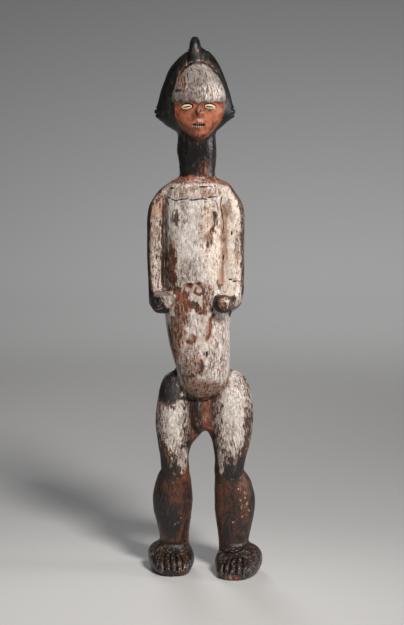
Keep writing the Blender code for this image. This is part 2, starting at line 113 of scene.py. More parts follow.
legs = {
    "rightThigh": {"squareness": 2.2, "rings": [
        (375, -45, 8, 12, 12, 20), (366, -49, 7, 22, 21, 32), (348, -51, 5, 27.5, 29, 42),
        (324, -52.4, 3, 31, 36, 44), (301, -53.4, 2, 33, 39, 44), (280, -54, 1, 33.5, 39, 42),
        (242, -52.3, -1, 31.2, 37, 36), (211, -51.7, -3, 26.4, 33, 29), (188, -50, -3, 26.2, 31, 27),
        (170, -49, -2, 23, 27, 25)]},
    "leftThigh": {"squareness": 2.2, "rings": [
        (377, 48, 6, 14, 13, 20), (368, 54, 6, 25, 23, 33), (350, 57, 4, 31, 31, 42),
        (326, 58.5, 1, 35, 37, 44), (301, 59.5, -1, 37.5, 40, 44), (272, 58.2, -3, 37.6, 40, 42),
        (242, 55.3, -6, 35.2, 38, 36), (211, 53, -10, 29, 33, 29), (188, 50.5, -12, 27.5, 31, 27),
        (170, 50, -12, 24, 27, 25)]},
    "rightCalf": {"squareness": 2.2, "rings": [
        (193, -50.5, 2, 21, 25, 25), (186, -52, 4, 27, 30, 33), (176, -53, 5, 31.5, 32, 38),
        (150, -55, 6, 36.3, 34, 43), (135, -55.5, 6, 38.2, 34, 43), (112, -55.5, 6, 36.6, 33, 40),
        (90, -54, 5, 32.4, 31, 34), (67, -53, 4, 28.3, 28, 29), (52, -52.3, 4, 27.5, 27.5, 28),
        (45, -52, 4, 28, 28, 29)]},
    "leftCalf": {"squareness": 2.2, "rings": [
        (193, 51.5, -8, 22, 25, 25), (184, 54.5, -6, 29, 30, 33), (173, 57, -6, 33.5, 32, 38),
        (154, 60, -7, 37, 34, 43), (135, 61.8, -8, 38.6, 34, 43), (108, 61.6, -9, 37, 33, 40),
        (82, 60.7, -11, 32.6, 31, 34), (60, 59.7, -13, 28.8, 28, 29), (47, 59, -14, 27.5, 27.5, 28),
        (41, 59, -14, 28, 28, 29)]},
    # the shank inside the ankle, narrower than the calf that ends over it
    "rightAnkle": {"squareness": 2, "rings": [(60, -52, 4, 23, 23, 24), (20, -53, 4, 25, 25, 25)]},
    "leftAnkle": {"squareness": 2, "rings": [(56, 59, -14, 23, 23, 24), (20, 61, -15, 25, 25, 25)]},
}
footRings = [
    (42, 0, 16, 12, 12, 20), (34, 0, 20, 29, 25, 24), (14, 0, 22, 43, 31, 26), (-12, 0, 20, 43.5, 31, 24),
    (-40, 0, 14, 38, 23, 18), (-60, 0, 10, 30, 15, 14), (-73, 0, 8, 18, 9, 12), (-78, 0, 7, 8, 5, 10)]
feet = {
    "rightFoot": {"squareness": 2.5, "lying": True, "rings": footRings, "place": (-59, 4), "turn": 5},
    "leftFoot": {"squareness": 2.5, "lying": True, "rings": footRings, "place": (70, -26), "turn": -11},
}
allForms = {**head, **body, **legs, **feet}


# A smooth curve through the values that never overshoots them: each piece is a cubic, and the slope at
# a value is the harmonic mean of the slopes on its two sides, or level at a peak.
def eased(places, values, at):
    steps = np.diff(places)
    slopes = np.diff(values) / steps
    product = slopes[:-1] * slopes[1:]
    inner = np.where(product > 0, 2 * product / np.where(product > 0, slopes[:-1] + slopes[1:], 1), 0)
    tangents = np.concatenate([slopes[:1], inner, slopes[-1:]])
    i = np.clip(np.searchsorted(places, at) - 1, 0, len(steps) - 1)
    t = (at - places[i]) / steps[i]
    return (values[i] * (2 * t**3 - 3 * t**2 + 1) + values[i + 1] * (3 * t**2 - 2 * t**3)
            + steps[i] * (tangents[i] * (t**3 - 2 * t**2 + t) + tangents[i + 1] * (t**3 - t**2)))


# From 0 to 1 as value goes from low to high, level at both ends
def blendStep(low, high, value):
    t = np.clip((value - low) / (high - low), 0, 1)
    return t * t * (3 - 2 * t)


# The ring sizes of a form at each place along it, eased between its rings and held beyond its ends
def ringsAt(form, at):
    table = np.array(sorted(form["rings"]), float)
    held = np.clip(at, table[0, 0], table[-1, 0])
    return [eased(table[:, 0], column, held) for column in table.T[1:]]


# A form's surface: across = centre + half width * cos^(2/s), out = centre + depth * sin^(2/s)
def ringStack(form):
    ends = sorted(ring[0] for ring in form["rings"])
    count = max(3, round((ends[-1] - ends[0]) / figure["ringSpacing"])) + 1
    at = np.linspace(ends[0], ends[-1], count)
    centreX, centre, half, near, far = [v[:, None] for v in ringsAt(form, at)]
    turn = np.linspace(0, 2 * np.pi, figure["ringPoints"], endpoint=False)
    power = 2 / form["squareness"]
    cos = np.sign(np.cos(turn)) * np.abs(np.cos(turn)) ** power
    sin = np.sign(np.sin(turn)) * np.abs(np.sin(turn)) ** power
    across = centreX + half * cos
    along = np.broadcast_to(at[:, None], across.shape)
    if form.get("lying"):
        return placed(form, np.stack([across, along, centre + np.where(sin > 0, near, far) * sin], -1))
    return np.stack([across, centre + np.where(sin < 0, near, far) * sin, along], -1)


# Turns a form's own axes about the vertical and moves them to its place
def placed(form, points, back=False):
    angle = np.radians(form.get("turn", 0))
    cos, sin = np.cos(angle), np.sin(angle)
    place = np.array([*form.get("place", (0, 0)), 0.0])
    if back:
        x, y, z = np.moveaxis(points - place, -1, 0)
        return np.stack([x * cos + y * sin, y * cos - x * sin, z], -1)
    x, y, z = np.moveaxis(points, -1, 0)
    return np.stack([x * cos - y * sin, x * sin + y * cos, z], -1) + place


# An ellipsoid, latitude by longitude: centre + radii * (cos a cos b, cos a sin b, sin a)
def ball(centre, radii):
    latitude = np.linspace(-np.pi / 2, np.pi / 2, 26)[1:-1, None]
    longitude = np.linspace(0, 2 * np.pi, 40, endpoint=False)
    unit = np.stack([np.cos(latitude) * np.cos(longitude), np.cos(latitude) * np.sin(longitude),
                     np.broadcast_to(np.sin(latitude), (24, 40))], -1)
    return unit * np.array(radii) + np.array(centre, float)


# A round profile carried along a smooth path: path + radius * (side * cos + other * sin), with a radius
# at each point and rounded ends
def tube(path, radii):
    path, radii = np.array(path, float), np.array(radii, float)
    knots = np.linspace(0, 1, len(path))
    at = np.linspace(0, 1, 12 * len(path))
    line = np.stack([eased(knots, column, at) for column in path.T], -1)
    radius = eased(knots, radii, at)
    heading = np.gradient(line, axis=0)
    heading /= np.linalg.norm(heading, axis=1, keepdims=True)
    side = np.cross(heading, (0.31, 0.17, 0.93))
    side /= np.linalg.norm(side, axis=1, keepdims=True)
    other = np.cross(heading, side)
    lap = np.linspace(0, 2 * np.pi, 24, endpoint=False)
    # each end closes as half a ball
    cap = np.linspace(0, np.pi / 2, 7)[:-1]
    line = np.concatenate([line[:1] - heading[:1] * radius[0] * np.cos(cap)[:, None], line,
                           line[-1:] + heading[-1:] * radius[-1] * np.sin(cap[1:])[:, None]])
    side = np.concatenate([np.repeat(side[:1], 6, 0), side, np.repeat(side[-1:], 5, 0)])
    other = np.concatenate([np.repeat(other[:1], 6, 0), other, np.repeat(other[-1:], 5, 0)])
    radius = np.concatenate([radius[0] * np.maximum(np.sin(cap), 0.05), radius, radius[-1] * np.cos(cap[1:])])
    circle = side[:, None] * np.cos(lap)[:, None] + other[:, None] * np.sin(lap)[:, None]
    return line[:, None] + radius[:, None, None] * circle


# Closes a stack of rings with a fan at each end and gives its points and faces
def closedStack(rings):
    rows, columns = rings.shape[:2]
    points = np.concatenate([rings.reshape(-1, 3), rings[0].mean(0)[None], rings[-1].mean(0)[None]])
    index = np.arange(rows * columns).reshape(rows, columns)
    after = np.roll(index, -1, axis=1)
    quads = np.stack([index[:-1], after[:-1], after[1:], index[1:]], -1).reshape(-1, 4)
    low = np.stack([np.full(columns, rows * columns), after[0], index[0]], -1)
    high = np.stack([np.full(columns, rows * columns + 1), index[-1], after[-1]], -1)
    return points, quads.tolist() + low.tolist() + high.tolist()


# A mesh of the given points and faces
def meshOf(name, points, faces):
    mesh = bpy.data.meshes.new(name)
    mesh.from_pydata(points.tolist(), [], faces)
    mesh.update()
    return mesh


# A mesh as an object in the scene, at the origin
def newPiece(name, mesh):
    piece = bpy.data.objects.new(name, mesh)
    bpy.context.scene.collection.objects.link(piece)
    return piece


# The same with its material, shaded smooth
def finishedPiece(name, mesh, material):
    mesh.polygons.foreach_set("use_smooth", np.ones(len(mesh.polygons), bool))
    mesh.materials.append(material)
    return newPiece(name, mesh)


# Random numbers from 0 to 1 that depend only on three whole numbers and a seed
def scatter(cell, seed):
    a, b, c = (cell.astype(np.int64) & 0xFFFFFFFF).T
    h = (a * 374761393 + b * 668265263 + c * 974634777 + seed * 362437) & 0xFFFFFFFF
    h = ((h ^ (h >> 13)) * 1274126177) & 0xFFFFFFFF
    return (h ^ (h >> 16)) / 4294967296.0


# Soft noise from -1 to 1: random values at the corners of unit cubes, eased between them, in octaves
def softNoise(points, size, seed, octaves=3):
    total, weight, strength = 0, 0, 1.0
    for octave in range(octaves):
        place = points / np.array(size) * 2.0**octave + 17.3 * seed
        cell = np.floor(place)
        t = place - cell
        t = t * t * (3 - 2 * t)
        value = 0
        for corner in np.ndindex(2, 2, 2):
            pick = np.array(corner)
            value = value + scatter(cell + pick, seed + octave) * np.prod(np.where(pick, t, 1 - t), axis=1)
        total, weight, strength = total + strength * (2 * value - 1), weight + strength, strength * 0.55
    return total / weight


# The dishes that an adze leaves: the square of the distance to the nearest of scattered points, one to a
# cell, less 0.3, so that the skin as a whole stays where it was
def dishes(points, size, seed):
    place = points / np.array(size)
    cell = np.floor(place)
    nearest = np.full(len(points), 9.0)
    for step in np.ndindex(3, 3, 3):
        other = cell + np.array(step) - 1
        point = other + np.stack([scatter(other, seed + k) for k in range(3)], -1)
        nearest = np.minimum(nearest, np.linalg.norm(place - point, axis=1))
    return nearest**2 - 0.3


# The shortest way from each point to a path of straight steps, seen from the front as (x, height)
def reachTo(path, x, z):
    reach = np.full(len(x), 1e9)
    for (ax, az), (bx, bz) in zip(path[:-1], path[1:]):
        run = np.array([bx - ax, bz - az])
        t = np.clip(((x - ax) * run[0] + (z - az) * run[1]) / (run @ run), 0, 1)
        reach = np.minimum(reach, np.hypot(x - ax - t * run[0], z - az - t * run[1]))
    return reach


# How far each point lies off a form's skin, in thousandths of the height: |level - 1| * the smaller half
# size, where level is 1 on the skin, and the way past the form's ends
def offSkin(form, points):
    own = placed(form, points, back=True)
    lying = form.get("lying")
    at, out = (own[:, 1], own[:, 2]) if lying else (own[:, 2], own[:, 1])
    centreX, centre, half, near, far = ringsAt(form, at)
    ends = sorted(ring[0] for ring in form["rings"])
    side = (out > centre) if lying else (out < centre)
    depth = np.where(side, near, far)
    power = form["squareness"]
    total = np.abs((own[:, 0] - centreX) / half) ** power + np.abs((out - centre) / depth) ** power
    level = total ** (1 / power)
    beyond = np.maximum(0, np.maximum(ends[0] - at, at - ends[-1]))
    return np.abs(level - 1) * np.minimum(half, depth) + beyond


# Small forms of the face, the hands, the groin and the feet, joined with the large ones.
# The face is laid out by plain shares between the hairline and the chin.
face = {"x": -6.5, "hairline": 947, "chin": 813, "plane": -41, "eyeSpread": 21}
face["eyePlane"] = face["plane"] + 1.5
face["brow"] = (face["hairline"] + face["chin"]) / 2
belowBrow = face["brow"] - face["chin"]
face["eyeLine"] = face["brow"] - belowBrow * 0.13
face["noseBase"] = face["brow"] - belowBrow / 3
face["mouthLine"] = face["brow"] - belowBrow * 0.62


# The middle of an eye in metres, the figure's right one at side -1 and its left one at side 1
def eyePlace(side):
    return np.array([face["x"] + side * face["eyeSpread"], face["eyePlane"], face["eyeLine"]]) * share


# Balls and tubes for the features, each a stack of rings, and five ribs on each foot for the toes, laid
# over the foot's own rounded top: centre + up * (1 - (across / half)^s)^(1 / s)
def smallForms():
    x, plane = face["x"], face["plane"]
    brow, nose, mouth, chin = face["brow"], face["noseBase"], face["mouthLine"], face["chin"]
    stacks = [
        tube([(x, plane + 1, brow + 2), (x, plane - 4, nose + 12), (x, plane - 7, nose + 4)],
             [4.0, 4.6, 5.2]),
        ball((x, plane - 7.5, nose + 3), (6, 6, 5)),
        ball((x - 6.5, plane - 1, nose + 2.5), (4.6, 6.5, 4.2)),
        ball((x + 6.5, plane - 1, nose + 2.5), (4.6, 6.5, 4.2)),
        ball((x, plane + 2, mouth), (19, 9, 9.5)),
        tube([(x - 17, plane + 4, mouth), (x - 8, plane - 3.5, mouth + 5.5), (x, plane - 5.5, mouth + 6),
              (x + 8, plane - 3.5, mouth + 5.5), (x + 17, plane + 4, mouth)], [1.6, 2.6, 2.8, 2.6, 1.6]),
        tube([(x - 17, plane + 4, mouth), (x - 8, plane - 3, mouth - 5.5), (x, plane - 5, mouth - 6.5),
              (x + 8, plane - 3, mouth - 5.5), (x + 17, plane + 4, mouth)], [1.6, 2.6, 3.0, 2.6, 1.6]),
        ball((x, plane + 3, chin + 9), (13, 8, 8)),
        # the ends of the coiffure's lobes
        ball((-83.5, 6, 860), (5, 10, 11)), ball((57.5, 6, 860), (5, 10, 11)),
        # nipples, thumbs, knuckles
        ball((-49.5, -46, 672), (5, 5.5, 11)), ball((25.5, -48, 673), (5, 5.5, 11)),
        tube([(-57, -50, 522), (-60, -66, 517), (-66, -75, 508)], [7.5, 8.5, 7]),
        tube([(29, -50, 522), (30, -62, 516), (33, -72, 507)], [5.5, 6.5, 6]),
        # the groin and the buttocks
        tube([(-7, -18, 338), (-7.5, -29, 314), (-8, -34, 292), (-7.5, -33, 279)], [8, 8.5, 8.5, 7]),
        ball((3, -22, 283), (13, 13, 15)),
        ball((-28, 34, 318), (33, 34, 42)), ball((36, 32, 318), (35, 34, 42)),
    ]
    # toe ribs lie along the top of the foot, from the instep to just short of the sole
    for form in feet.values():
        for toe in range(5):
            y = np.array([-36.0, -44, -53, -62, -69])
            across = (toe - 2) * np.array([8.2, 9.2, 10.0, 10.7, 11.2])
            _, centre, half, up, _ = ringsAt(form, y)
            high = centre + up * (1 - np.abs(across / half) ** 2.5) ** 0.4
            high -= np.array([2.6, 0.9, 0.2, 1.0, 4.0])     # how deep each point of the rib lies in the foot
            high[-1] = min(high[-1], 11)
            stacks.append(placed(form, tube(np.stack([across, y, high], -1), [2.0, 3.5, 4.3, 4.6, 3.8])))
    return stacks


# All forms as one mesh of overlapping bodies, made one skin by a voxel remesh
def fusedMesh():
    stacks = [ringStack(form) for form in allForms.values()] + smallForms()
    points, faces, start = [], [], 0
    for stack in stacks:
        own, ownFaces = closedStack(stack)
        own[:, 2] = np.maximum(own[:, 2], 0)
        points.append(own)
        faces += [[corner + start for corner in f] for f in ownFaces]
        start += len(own)
    raw = newPiece("rawForms", meshOf("rawForms", np.concatenate(points) * share, faces))
    solid = bmesh.new()
    solid.from_mesh(raw.data)
    bmesh.ops.recalc_face_normals(solid, faces=solid.faces)
    solid.to_mesh(raw.data)
    solid.free()
    fuse = raw.modifiers.new("fuse", "REMESH")
    fuse.mode = "VOXEL"
    fuse.voxel_size = figure["voxel"]
    mesh = bpy.data.meshes.new_from_object(raw.evaluated_get(bpy.context.evaluated_depsgraph_get()))
    bpy.data.objects.remove(raw)
    return mesh


# Splits every edge between two chosen points, so that part of the mesh is twice as fine
def refine(mesh, chosen):
    fine = bmesh.new()
    fine.from_mesh(mesh)
    edges = [e for e in fine.edges if chosen[e.verts[0].index] and chosen[e.verts[1].index]]
    bmesh.ops.subdivide_edges(fine, edges=edges, cuts=1, use_grid_fill=True)
    bmesh.ops.triangulate(fine, faces=[f for f in fine.faces if len(f.verts) > 4])
    fine.to_mesh(mesh)
    fine.free()


# The points of a mesh, in thousandths of the height
def pointsOf(mesh):
    flat = np.empty(len(mesh.vertices) * 3)
    mesh.vertices.foreach_get("co", flat)
    return flat.reshape(-1, 3) / share


# Puts such points back into the mesh
def setPoints(mesh, points):
    mesh.vertices.foreach_set("co", (points * share).ravel())
    mesh.update()


# The outward direction at each point
def normalsOf(mesh, points):
    setPoints(mesh, points)
    flat = np.empty(len(mesh.vertices) * 3)
    mesh.vertex_normals.foreach_get("vector", flat)
    return flat.reshape(-1, 3)


# The two point numbers of each edge
def edgesOf(mesh):
    flat = np.empty(len(mesh.edges) * 2, int)
    mesh.edges.foreach_get("vertices", flat)
    return flat.reshape(-1, 2)


# Moves each value towards the mean of its neighbours, once for every amount
def relaxed(values, edges, amounts):
    values = values.astype(float).reshape(len(values), -1).copy()
    a, b = edges.T
    n = len(values)
    count = np.maximum(np.bincount(a, minlength=n) + np.bincount(b, minlength=n), 1)
    for amount in amounts:
        for k in range(values.shape[1]):
            total = np.bincount(a, values[b, k], n) + np.bincount(b, values[a, k], n)
            values[:, k] += amount * (total / count - values[:, k])
    return values


# Boxes where small work is cut and the mesh is twice as fine: (low, high) across, front to back and upright
anywhere = (-150, 150)
fineBoxes = {
    "head": ((-60, 47), (-150, 8), (800, 975)), "crest": (anywhere, anywhere, (945, 1010)),
    "rightLobe": ((-150, -76), anywhere, (845, 875)), "leftLobe": ((49, 150), anywhere, (845, 875)),
    "chestAndBelly": ((-72, 46), (-150, -34), (430, 712)), "fists": (anywhere, (-150, -52), (490, 535)),
    "toes": (anywhere, (-150, -34), (0.5, 48)),
}
# and where it is made finer once more, the second in each foot's own axes
faceBox = ((face["x"] - 32, face["x"] + 32), (-150, -32), (826, 882))
toeBox = ((-29, 29), (-150, -24), (4, 46))


# Which points lie inside a box
def inBox(points, box):
    low, high = np.array(box, float).T
    return ((points > low) & (points < high)).all(1)


mesh = fusedMesh()
print("forms fused:", len(mesh.vertices), "points")
# evens out the steps of the remesh and, with the amounts below 0, swells the forms back
points = relaxed(pointsOf(mesh), edgesOf(mesh), [0.5, 0.5, -0.5, 0.5, 0.5, -0.4])
setPoints(mesh, points)
refine(mesh, np.any([inBox(points, box) for box in fineBoxes.values()], axis=0))
points = relaxed(pointsOf(mesh), edgesOf(mesh), [0.5, 0.5])
setPoints(mesh, points)
finest = inBox(points, faceBox)
for form in feet.values():
    finest |= inBox(placed(form, points, back=True), toeBox)
refine(mesh, finest)
points = relaxed(pointsOf(mesh), edgesOf(mesh), [0.5])
print("mesh refined:", len(points), "points,", sum(len(p.vertices) - 2 for p in mesh.polygons), "triangles")

# What each form carries of white kaolin, red ochre and soot, then how rusty, creamy and polished it is,
# and how deep the adze marks are. The marks and the brush strokes below change it place by place.
finishes = {
    "coiffure": (0.02, 0.10, 0.97, 0.2, 0.0, 0.66, 0.5),
    "crest": (0.04, 0.25, 0.90, 0.3, 0.0, 0.60, 0.3),
    "forehead": (0.82, 0.10, 0.78, 0.2, 0.0, 0.10, 0.1),
    "lowerFace": (0.03, 0.95, 0.15, 0.2, 0.0, 0.35, 0.0),
    "neck": (0.03, 0.15, 0.90, 0.3, 0.0, 0.95, 0.5),
    "torso": (0.90, 0.10, 0.10, 0.3, 0.2, 0.05, 0.35),
    "rightUpperArm": (0.75, 0.05, 0.34, 0.5, 0.6, 0.05, 0.35),
    "leftUpperArm": (0.95, 0.05, 0.10, 0.25, 0.8, 0.05, 0.35),
    "rightForearm": (0.72, 0.05, 0.80, 0.4, 0.6, 0.30, 0.3),
    "leftForearm": (0.80, 0.10, 0.50, 0.5, 0.7, 0.30, 0.3),
    "pelvis": (0.35, 0.10, 0.75, 0.4, 0.3, 0.20, 0.4),
    "rightArch": (0.35, 0.30, 0.60, 0.5, 0.3, 0.20, 0.3),
    "leftArch": (0.35, 0.30, 0.60, 0.5, 0.3, 0.20, 0.3),
    "rightThigh": (0.96, 0.05, 0.44, 0.3, 0.3, 0.10, 0.4),
    "leftThigh": (0.94, 0.05, 0.42, 0.4, 0.3, 0.10, 0.4),
    "rightCalf": (0.05, 0.30, 0.55, 0.75, 0.4, 0.50, 0.6),
    "leftCalf": (0.10, 0.28, 0.55, 0.65, 0.4, 0.50, 0.6),
    "rightAnkle": (0.03, 0.30, 0.75, 0.6, 0.3, 0.50, 0.3),
    "leftAnkle": (0.03, 0.30, 0.75, 0.6, 0.3, 0.50, 0.3),
    "rightFoot": (0.34, 0.02, 0.66, 0.05, 0.1, 0.9, 0.5),
    "leftFoot": (0.34, 0.02, 0.64, 0.05, 0.1, 0.9, 0.5),
}
layerNames = ["kaolin", "red", "soot", "rust", "cream", "polish", "adze"]

# How the tools cut, in thousandths of the height: the size of a cut across, front to back and upright, or
# half its width, and how far it goes in
tools = {
    "adze": (13, 13, 27), "adzeDepth": 1.5,
    "neckFacet": (11, 11, 52), "neckDepth": 4.0,
    "grain": (2.8, 2.8, 34), "grainDepth": 0.10, "flakedDepth": 0.20,     # the second where kaolin lies thick
    "wave": (12, 12, 20), "waveDepth": 0.35,
    "hairLines": (-1, 8.5, -27), "hairLineHalf": 2.6, "hairLineDepth": 2.2,
    "lobeNotches": (867, 856), "notchHalf": 2.4, "notchDepth": 3.0,
    "foldHalf": 1.9, "foldDepth": 1.5,
    "socketHalf": (11.4, 6.6), "socketDepth": 5.2, "socketTilt": 8, "rimHeight": 1.1,
    "mouthHalf": (12.5, 4.0), "mouthDepth": 6.0, "toothDepth": 1.4, "toothSpacing": 3.5, "biteHalf": 1.3,
    "toeSpacing": 6.6, "toeSpread": 4.8, "toeGapHalf": 2.4, "toeGapDepth": 3.2, "toeRise": 1.6,
}
# The hollow in each fist and the folds of the fingers round it
fists = {
    "right": {"x": -83, "z": 517.5, "half": 4.9, "depth": 5.5, "folds": (7.0, 12.5, 18.5)},
    "left": {"x": 41, "z": 512, "half": 3.9, "depth": 3.0, "folds": (8.0, 15.5)},
}

# Cuts seen from the front: a path of (x, height), half its width and its depth
cuts = [
    # between arm and trunk, the second shallow
    ([(-69, 700), (-68.5, 640), (-68.5, 560), (-67, 536)], 6.5, 5.0),
    ([(33, 678), (37.5, 644), (38, 600), (36, 549)], 5.5, 1.6),
    # the two lines across the chest
    ([(-68, 708), (-58, 703), (-49, 699.5), (-38, 702), (-27, 703.5)], 1.6, 1.4),
    ([(-22, 701), (-10, 702), (2, 704), (9, 702)], 1.8, 1.6),
    ([(12, 706), (20, 706.5), (29, 707.5)], 1.7, 1.5),
    ([(-58, 722), (-40, 724), (-26, 723.5)], 1.5, 0.9), ([(-6, 725), (10, 726), (24, 726.5)], 1.5, 0.9),
    # splits in the left arm and beside it
    ([(49, 555.5), (57, 551), (65.6, 548.2)], 2.3, 3.0), ([(36, 706), (34, 690), (37, 676)], 1.7, 1.6),
    ([(27, 694), (30, 684)], 1.5, 1.2), ([(37, 676), (40, 655), (38, 640)], 1.4, 1.0),
    ([(40, 598), (39, 590)], 2.0, 1.6), ([(55, 642), (55, 637)], 2.0, 1.6),
    # the navel, the side of the belly, the groin
    ([(8.3, 420), (8.3, 416), (7.6, 412)], 2.4, 2.6),
    ([(-72, 470), (-68, 452), (-60, 440)], 1.9, 1.4), ([(-62, 462), (-58, 446)], 1.6, 1.2),
    ([(-45, 330), (-20, 325), (4, 324), (28, 332)], 2.0, 1.2), ([(-8.5, 322), (-8, 296)], 1.4, 0.5),
    # above the brow
    ([(-21, 944), (-18, 936)], 1.5, 0.8), ([(-12, 940), (-5, 936), (-3, 929)], 1.4, 0.7),
    ([(-27, 932), (-25, 920)], 1.4, 0.7), ([(-15, 926), (-13, 915)], 1.5, 0.8),
    ([(6, 934), (9, 925)], 1.3, 0.6),
    # under the ankles
    ([(-80, 55), (-66, 51.5), (-50, 50.5), (-36, 52), (-28, 57)], 2.4, 2.2),
    ([(32, 44), (45, 41.5), (58, 42), (72, 46), (84, 53)], 2.4, 2.2),
]

# Marks on the front of the figure: x, height, tilt in degrees, and for each coat that the mark changes
# the amount, half the mark's width and half its height. A later mark goes over an earlier one.
marks = [
    # the crest's top, bare wood above the right brow, the forehead, the nose and under the chin
    (-8.2, 973.5, 0, {"red": (0.5, 4, 6), "soot": (0.36, 4, 6), "kaolin": (0.4, 3, 5)}),
    (-38, 917, 14, {"kaolin": (0.54, 8, 21), "rust": (0.7, 10, 23), "soot": (0.45, 10, 23)}),
    (-43, 901, 0, {"kaolin": (0.15, 8, 2.2), "red": (0.5, 8, 2.2)}),
    (-12, 932, 0, {"soot": (0.84, 30, 20)}), (16, 896, 0, {"soot": (0.34, 26, 18), "cream": (0.5, 28, 20)}),
    (-38, 836, 25, {"soot": (0.44, 9, 20)}), (face["x"], face["noseBase"] + 5, 0, {"soot": (0.80, 6.5, 7)}),
    (face["x"], face["noseBase"] + 14, 0, {"soot": (0.45, 4, 9)}),
    (face["x"], 812, 0, {"soot": (0.52, 26, 12)}),
    # the neck and the shoulders
    (8, 760, -20, {"soot": (0.60, 20, 26), "red": (0.75, 20, 28), "rust": (0.9, 20, 28)}),
    (-34, 752, 0, {"soot": (0.60, 10, 12), "red": (0.5, 10, 12)}),
    (-20, 715, 0, {"kaolin": (0.76, 62, 12), "rust": (0.7, 62, 12)}),
    # the nipples, the chest and the side of the trunk
    (-47, 671, 0, {"kaolin": (0.24, 4.5, 14), "soot": (0.4, 4.5, 14), "red": (0.4, 4.5, 14)}),
    (24, 668, 8, {"kaolin": (0.40, 5, 18)}), (24, 670, 8, {"soot": (0.4, 4, 15)}),
    (24, 671, 8, {"red": (0.4, 4, 13)}),
    (4, 683, 0, {"kaolin": (0.50, 7, 10), "red": (0.4, 8, 12)}),
    (15, 628, -12, {"kaolin": (0.46, 5, 24), "soot": (0.35, 6, 24), "red": (0.45, 7, 24)}),
    (9, 655, 0, {"rust": (0.75, 15, 44)}), (7, 668, 0, {"kaolin": (0.82, 12, 26)}),
    (-55, 580, 3, {"kaolin": (0.28, 9, 54)}), (-54, 585, 3, {"rust": (0.6, 11, 50)}),
    (-57, 580, 3, {"soot": (0.4, 8, 50)}), (-58, 560, 3, {"kaolin": (0.30, 6, 24)}),
    (28, 640, 0, {"cream": (0.95, 30, 90)}), (42, 694, 0, {"kaolin": (1.0, 22, 16)}),
    (-16, 664, 0, {"kaolin": (1.0, 14, 34)}),
    # the right arm, the left arm and its fist
    (-82, 699, 0, {"kaolin": (0.56, 16, 15)}), (-84, 697, 0, {"rust": (0.75, 18, 18)}),
    (-87, 665, 0, {"kaolin": (0.68, 4, 40), "rust": (0.85, 5, 42)}),
    (64, 610, 0, {"kaolin": (0.70, 4, 50), "rust": (0.7, 5, 55)}),
    # the first mark here is painted highlights on the outer knuckles of the left fist
    (70, 508, 0, {"kaolin": (0.74, 12, 18), "soot": (0.62, 12, 18), "rust": (0.2, 12, 18)}),
    (32, 547, 15, {"kaolin": (0.20, 6, 9), "red": (0.35, 7, 9), "rust": (0.9, 9, 11)}),
    # between and below the fists
    (-22, 545, 0, {"kaolin": (0.10, 7, 6)}), (-21, 546, 0, {"soot": (0.7, 5, 4)}),
    (-6, 547, 0, {"kaolin": (0.12, 6, 4)}), (-6, 548, 0, {"soot": (0.6, 4, 3)}),
    (-14, 545, 0, {"red": (0.3, 18, 7)}), (-10, 538, 0, {"rust": (0.75, 30, 18)}),
    (-38, 508, -8, {"kaolin": (0.48, 18, 36)}), (-36, 510, -8, {"rust": (0.75, 24, 38)}),
    (-42, 500, -8, {"soot": (0.25, 12, 36)}),
    (5, 505, 3, {"kaolin": (0.30, 4.5, 20), "rust": (0.75, 9, 24)}), (14, 515, 0, {"kaolin": (0.6, 10, 30)}),
    (31.5, 449, 0, {"kaolin": (0.10, 4.5, 12), "red": (0.30, 5, 12), "rust": (0.7, 4, 11)}),
    # the navel and the belly
    (8.3, 416, 0, {"kaolin": (0.15, 3.4, 6.5), "rust": (0.8, 5, 8), "soot": (0.4, 4, 7)}),
    # the marks at x -47 to -56 make the belly's right side thin kaolin, darkened as painted shade
    (0, 405, 0, {"rust": (0.52, 52, 74)}), (-52, 440, -12, {"kaolin": (0.48, 18, 66)}),
    (-47, 440, -12, {"rust": (0.80, 20, 66)}), (-56, 435, -12, {"soot": (0.46, 13, 66)}),
    (-24, 388, -20, {"kaolin": (0.64, 24, 30)}), (-22, 392, -10, {"rust": (0.72, 28, 34)}),
    (-10, 378, 0, {"soot": (0.50, 44, 30)}),
    (-2, 392, -5, {"kaolin": (0.38, 4.5, 20)}), (-1, 390, -5, {"red": (0.3, 6, 18), "soot": (0.62, 4, 16)}),
    (30, 420, 0, {"kaolin": (0.78, 16, 60)}), (6, 350, 0, {"kaolin": (0.57, 45, 20), "soot": (0.6, 45, 18)}),
    (2, 350, 0, {"rust": (0.9, 45, 18)}),
    # the hips, the thighs and the knees
    # the belly's painted shadow on the right hip, dark over brown wood
    (-64, 346, 25, {"kaolin": (0.30, 25, 36)}), (-64, 350, 30, {"soot": (0.86, 25, 34)}),
    (-66, 350, 30, {"rust": (0.0, 28, 38), "red": (0.0, 28, 38)}), (-78, 345, 25, {"kaolin": (0.10, 8, 26)}),
    (-54, 268, 0, {"soot": (0.15, 18, 48)}), (56, 300, 0, {"soot": (0.15, 22, 56)}),
    (88, 262, 0, {"kaolin": (0.44, 11, 50)}), (-34, 212, -3, {"kaolin": (0.86, 8, 30)}),
    (35, 216, 3, {"kaolin": (0.72, 7, 32)}), (-38, 210, -3, {"soot": (0.3, 9, 30)}),
    # the calves
    (-42, 125, 0, {"soot": (0.42, 13, 50)}), (-40, 130, 0, {"rust": (0.9, 16, 60)}),
    (-36, 140, 0, {"red": (0.42, 12, 50)}), (-62, 98, 10, {"soot": (0.74, 22, 34)}),
    (-84, 140, 0, {"soot": (0.70, 16, 56)}), (52, 100, 0, {"soot": (0.68, 18, 26)}),
    (32, 140, 0, {"soot": (0.45, 9, 60)}), (76, 150, 0, {"red": (0.4, 14, 40)}),
    (78, 150, 0, {"soot": (0.45, 14, 40)}), (78, 140, 8, {"kaolin": (0.33, 13, 36)}),
    (76, 140, 8, {"cream": (0.4, 16, 34)}), (-28, 186, -4, {"soot": (0.12, 8, 24), "rust": (1.0, 9, 24)}),
    (-33, 204, -4, {"kaolin": (0.62, 6, 14)}),
    # the feet
    (56, 5, 0, {"rust": (1.0, 16, 6), "soot": (0.25, 15, 5.5)}),
    (-36, 24, 0, {"rust": (1.0, 8, 26), "soot": (0.6, 8, 26)}),
]
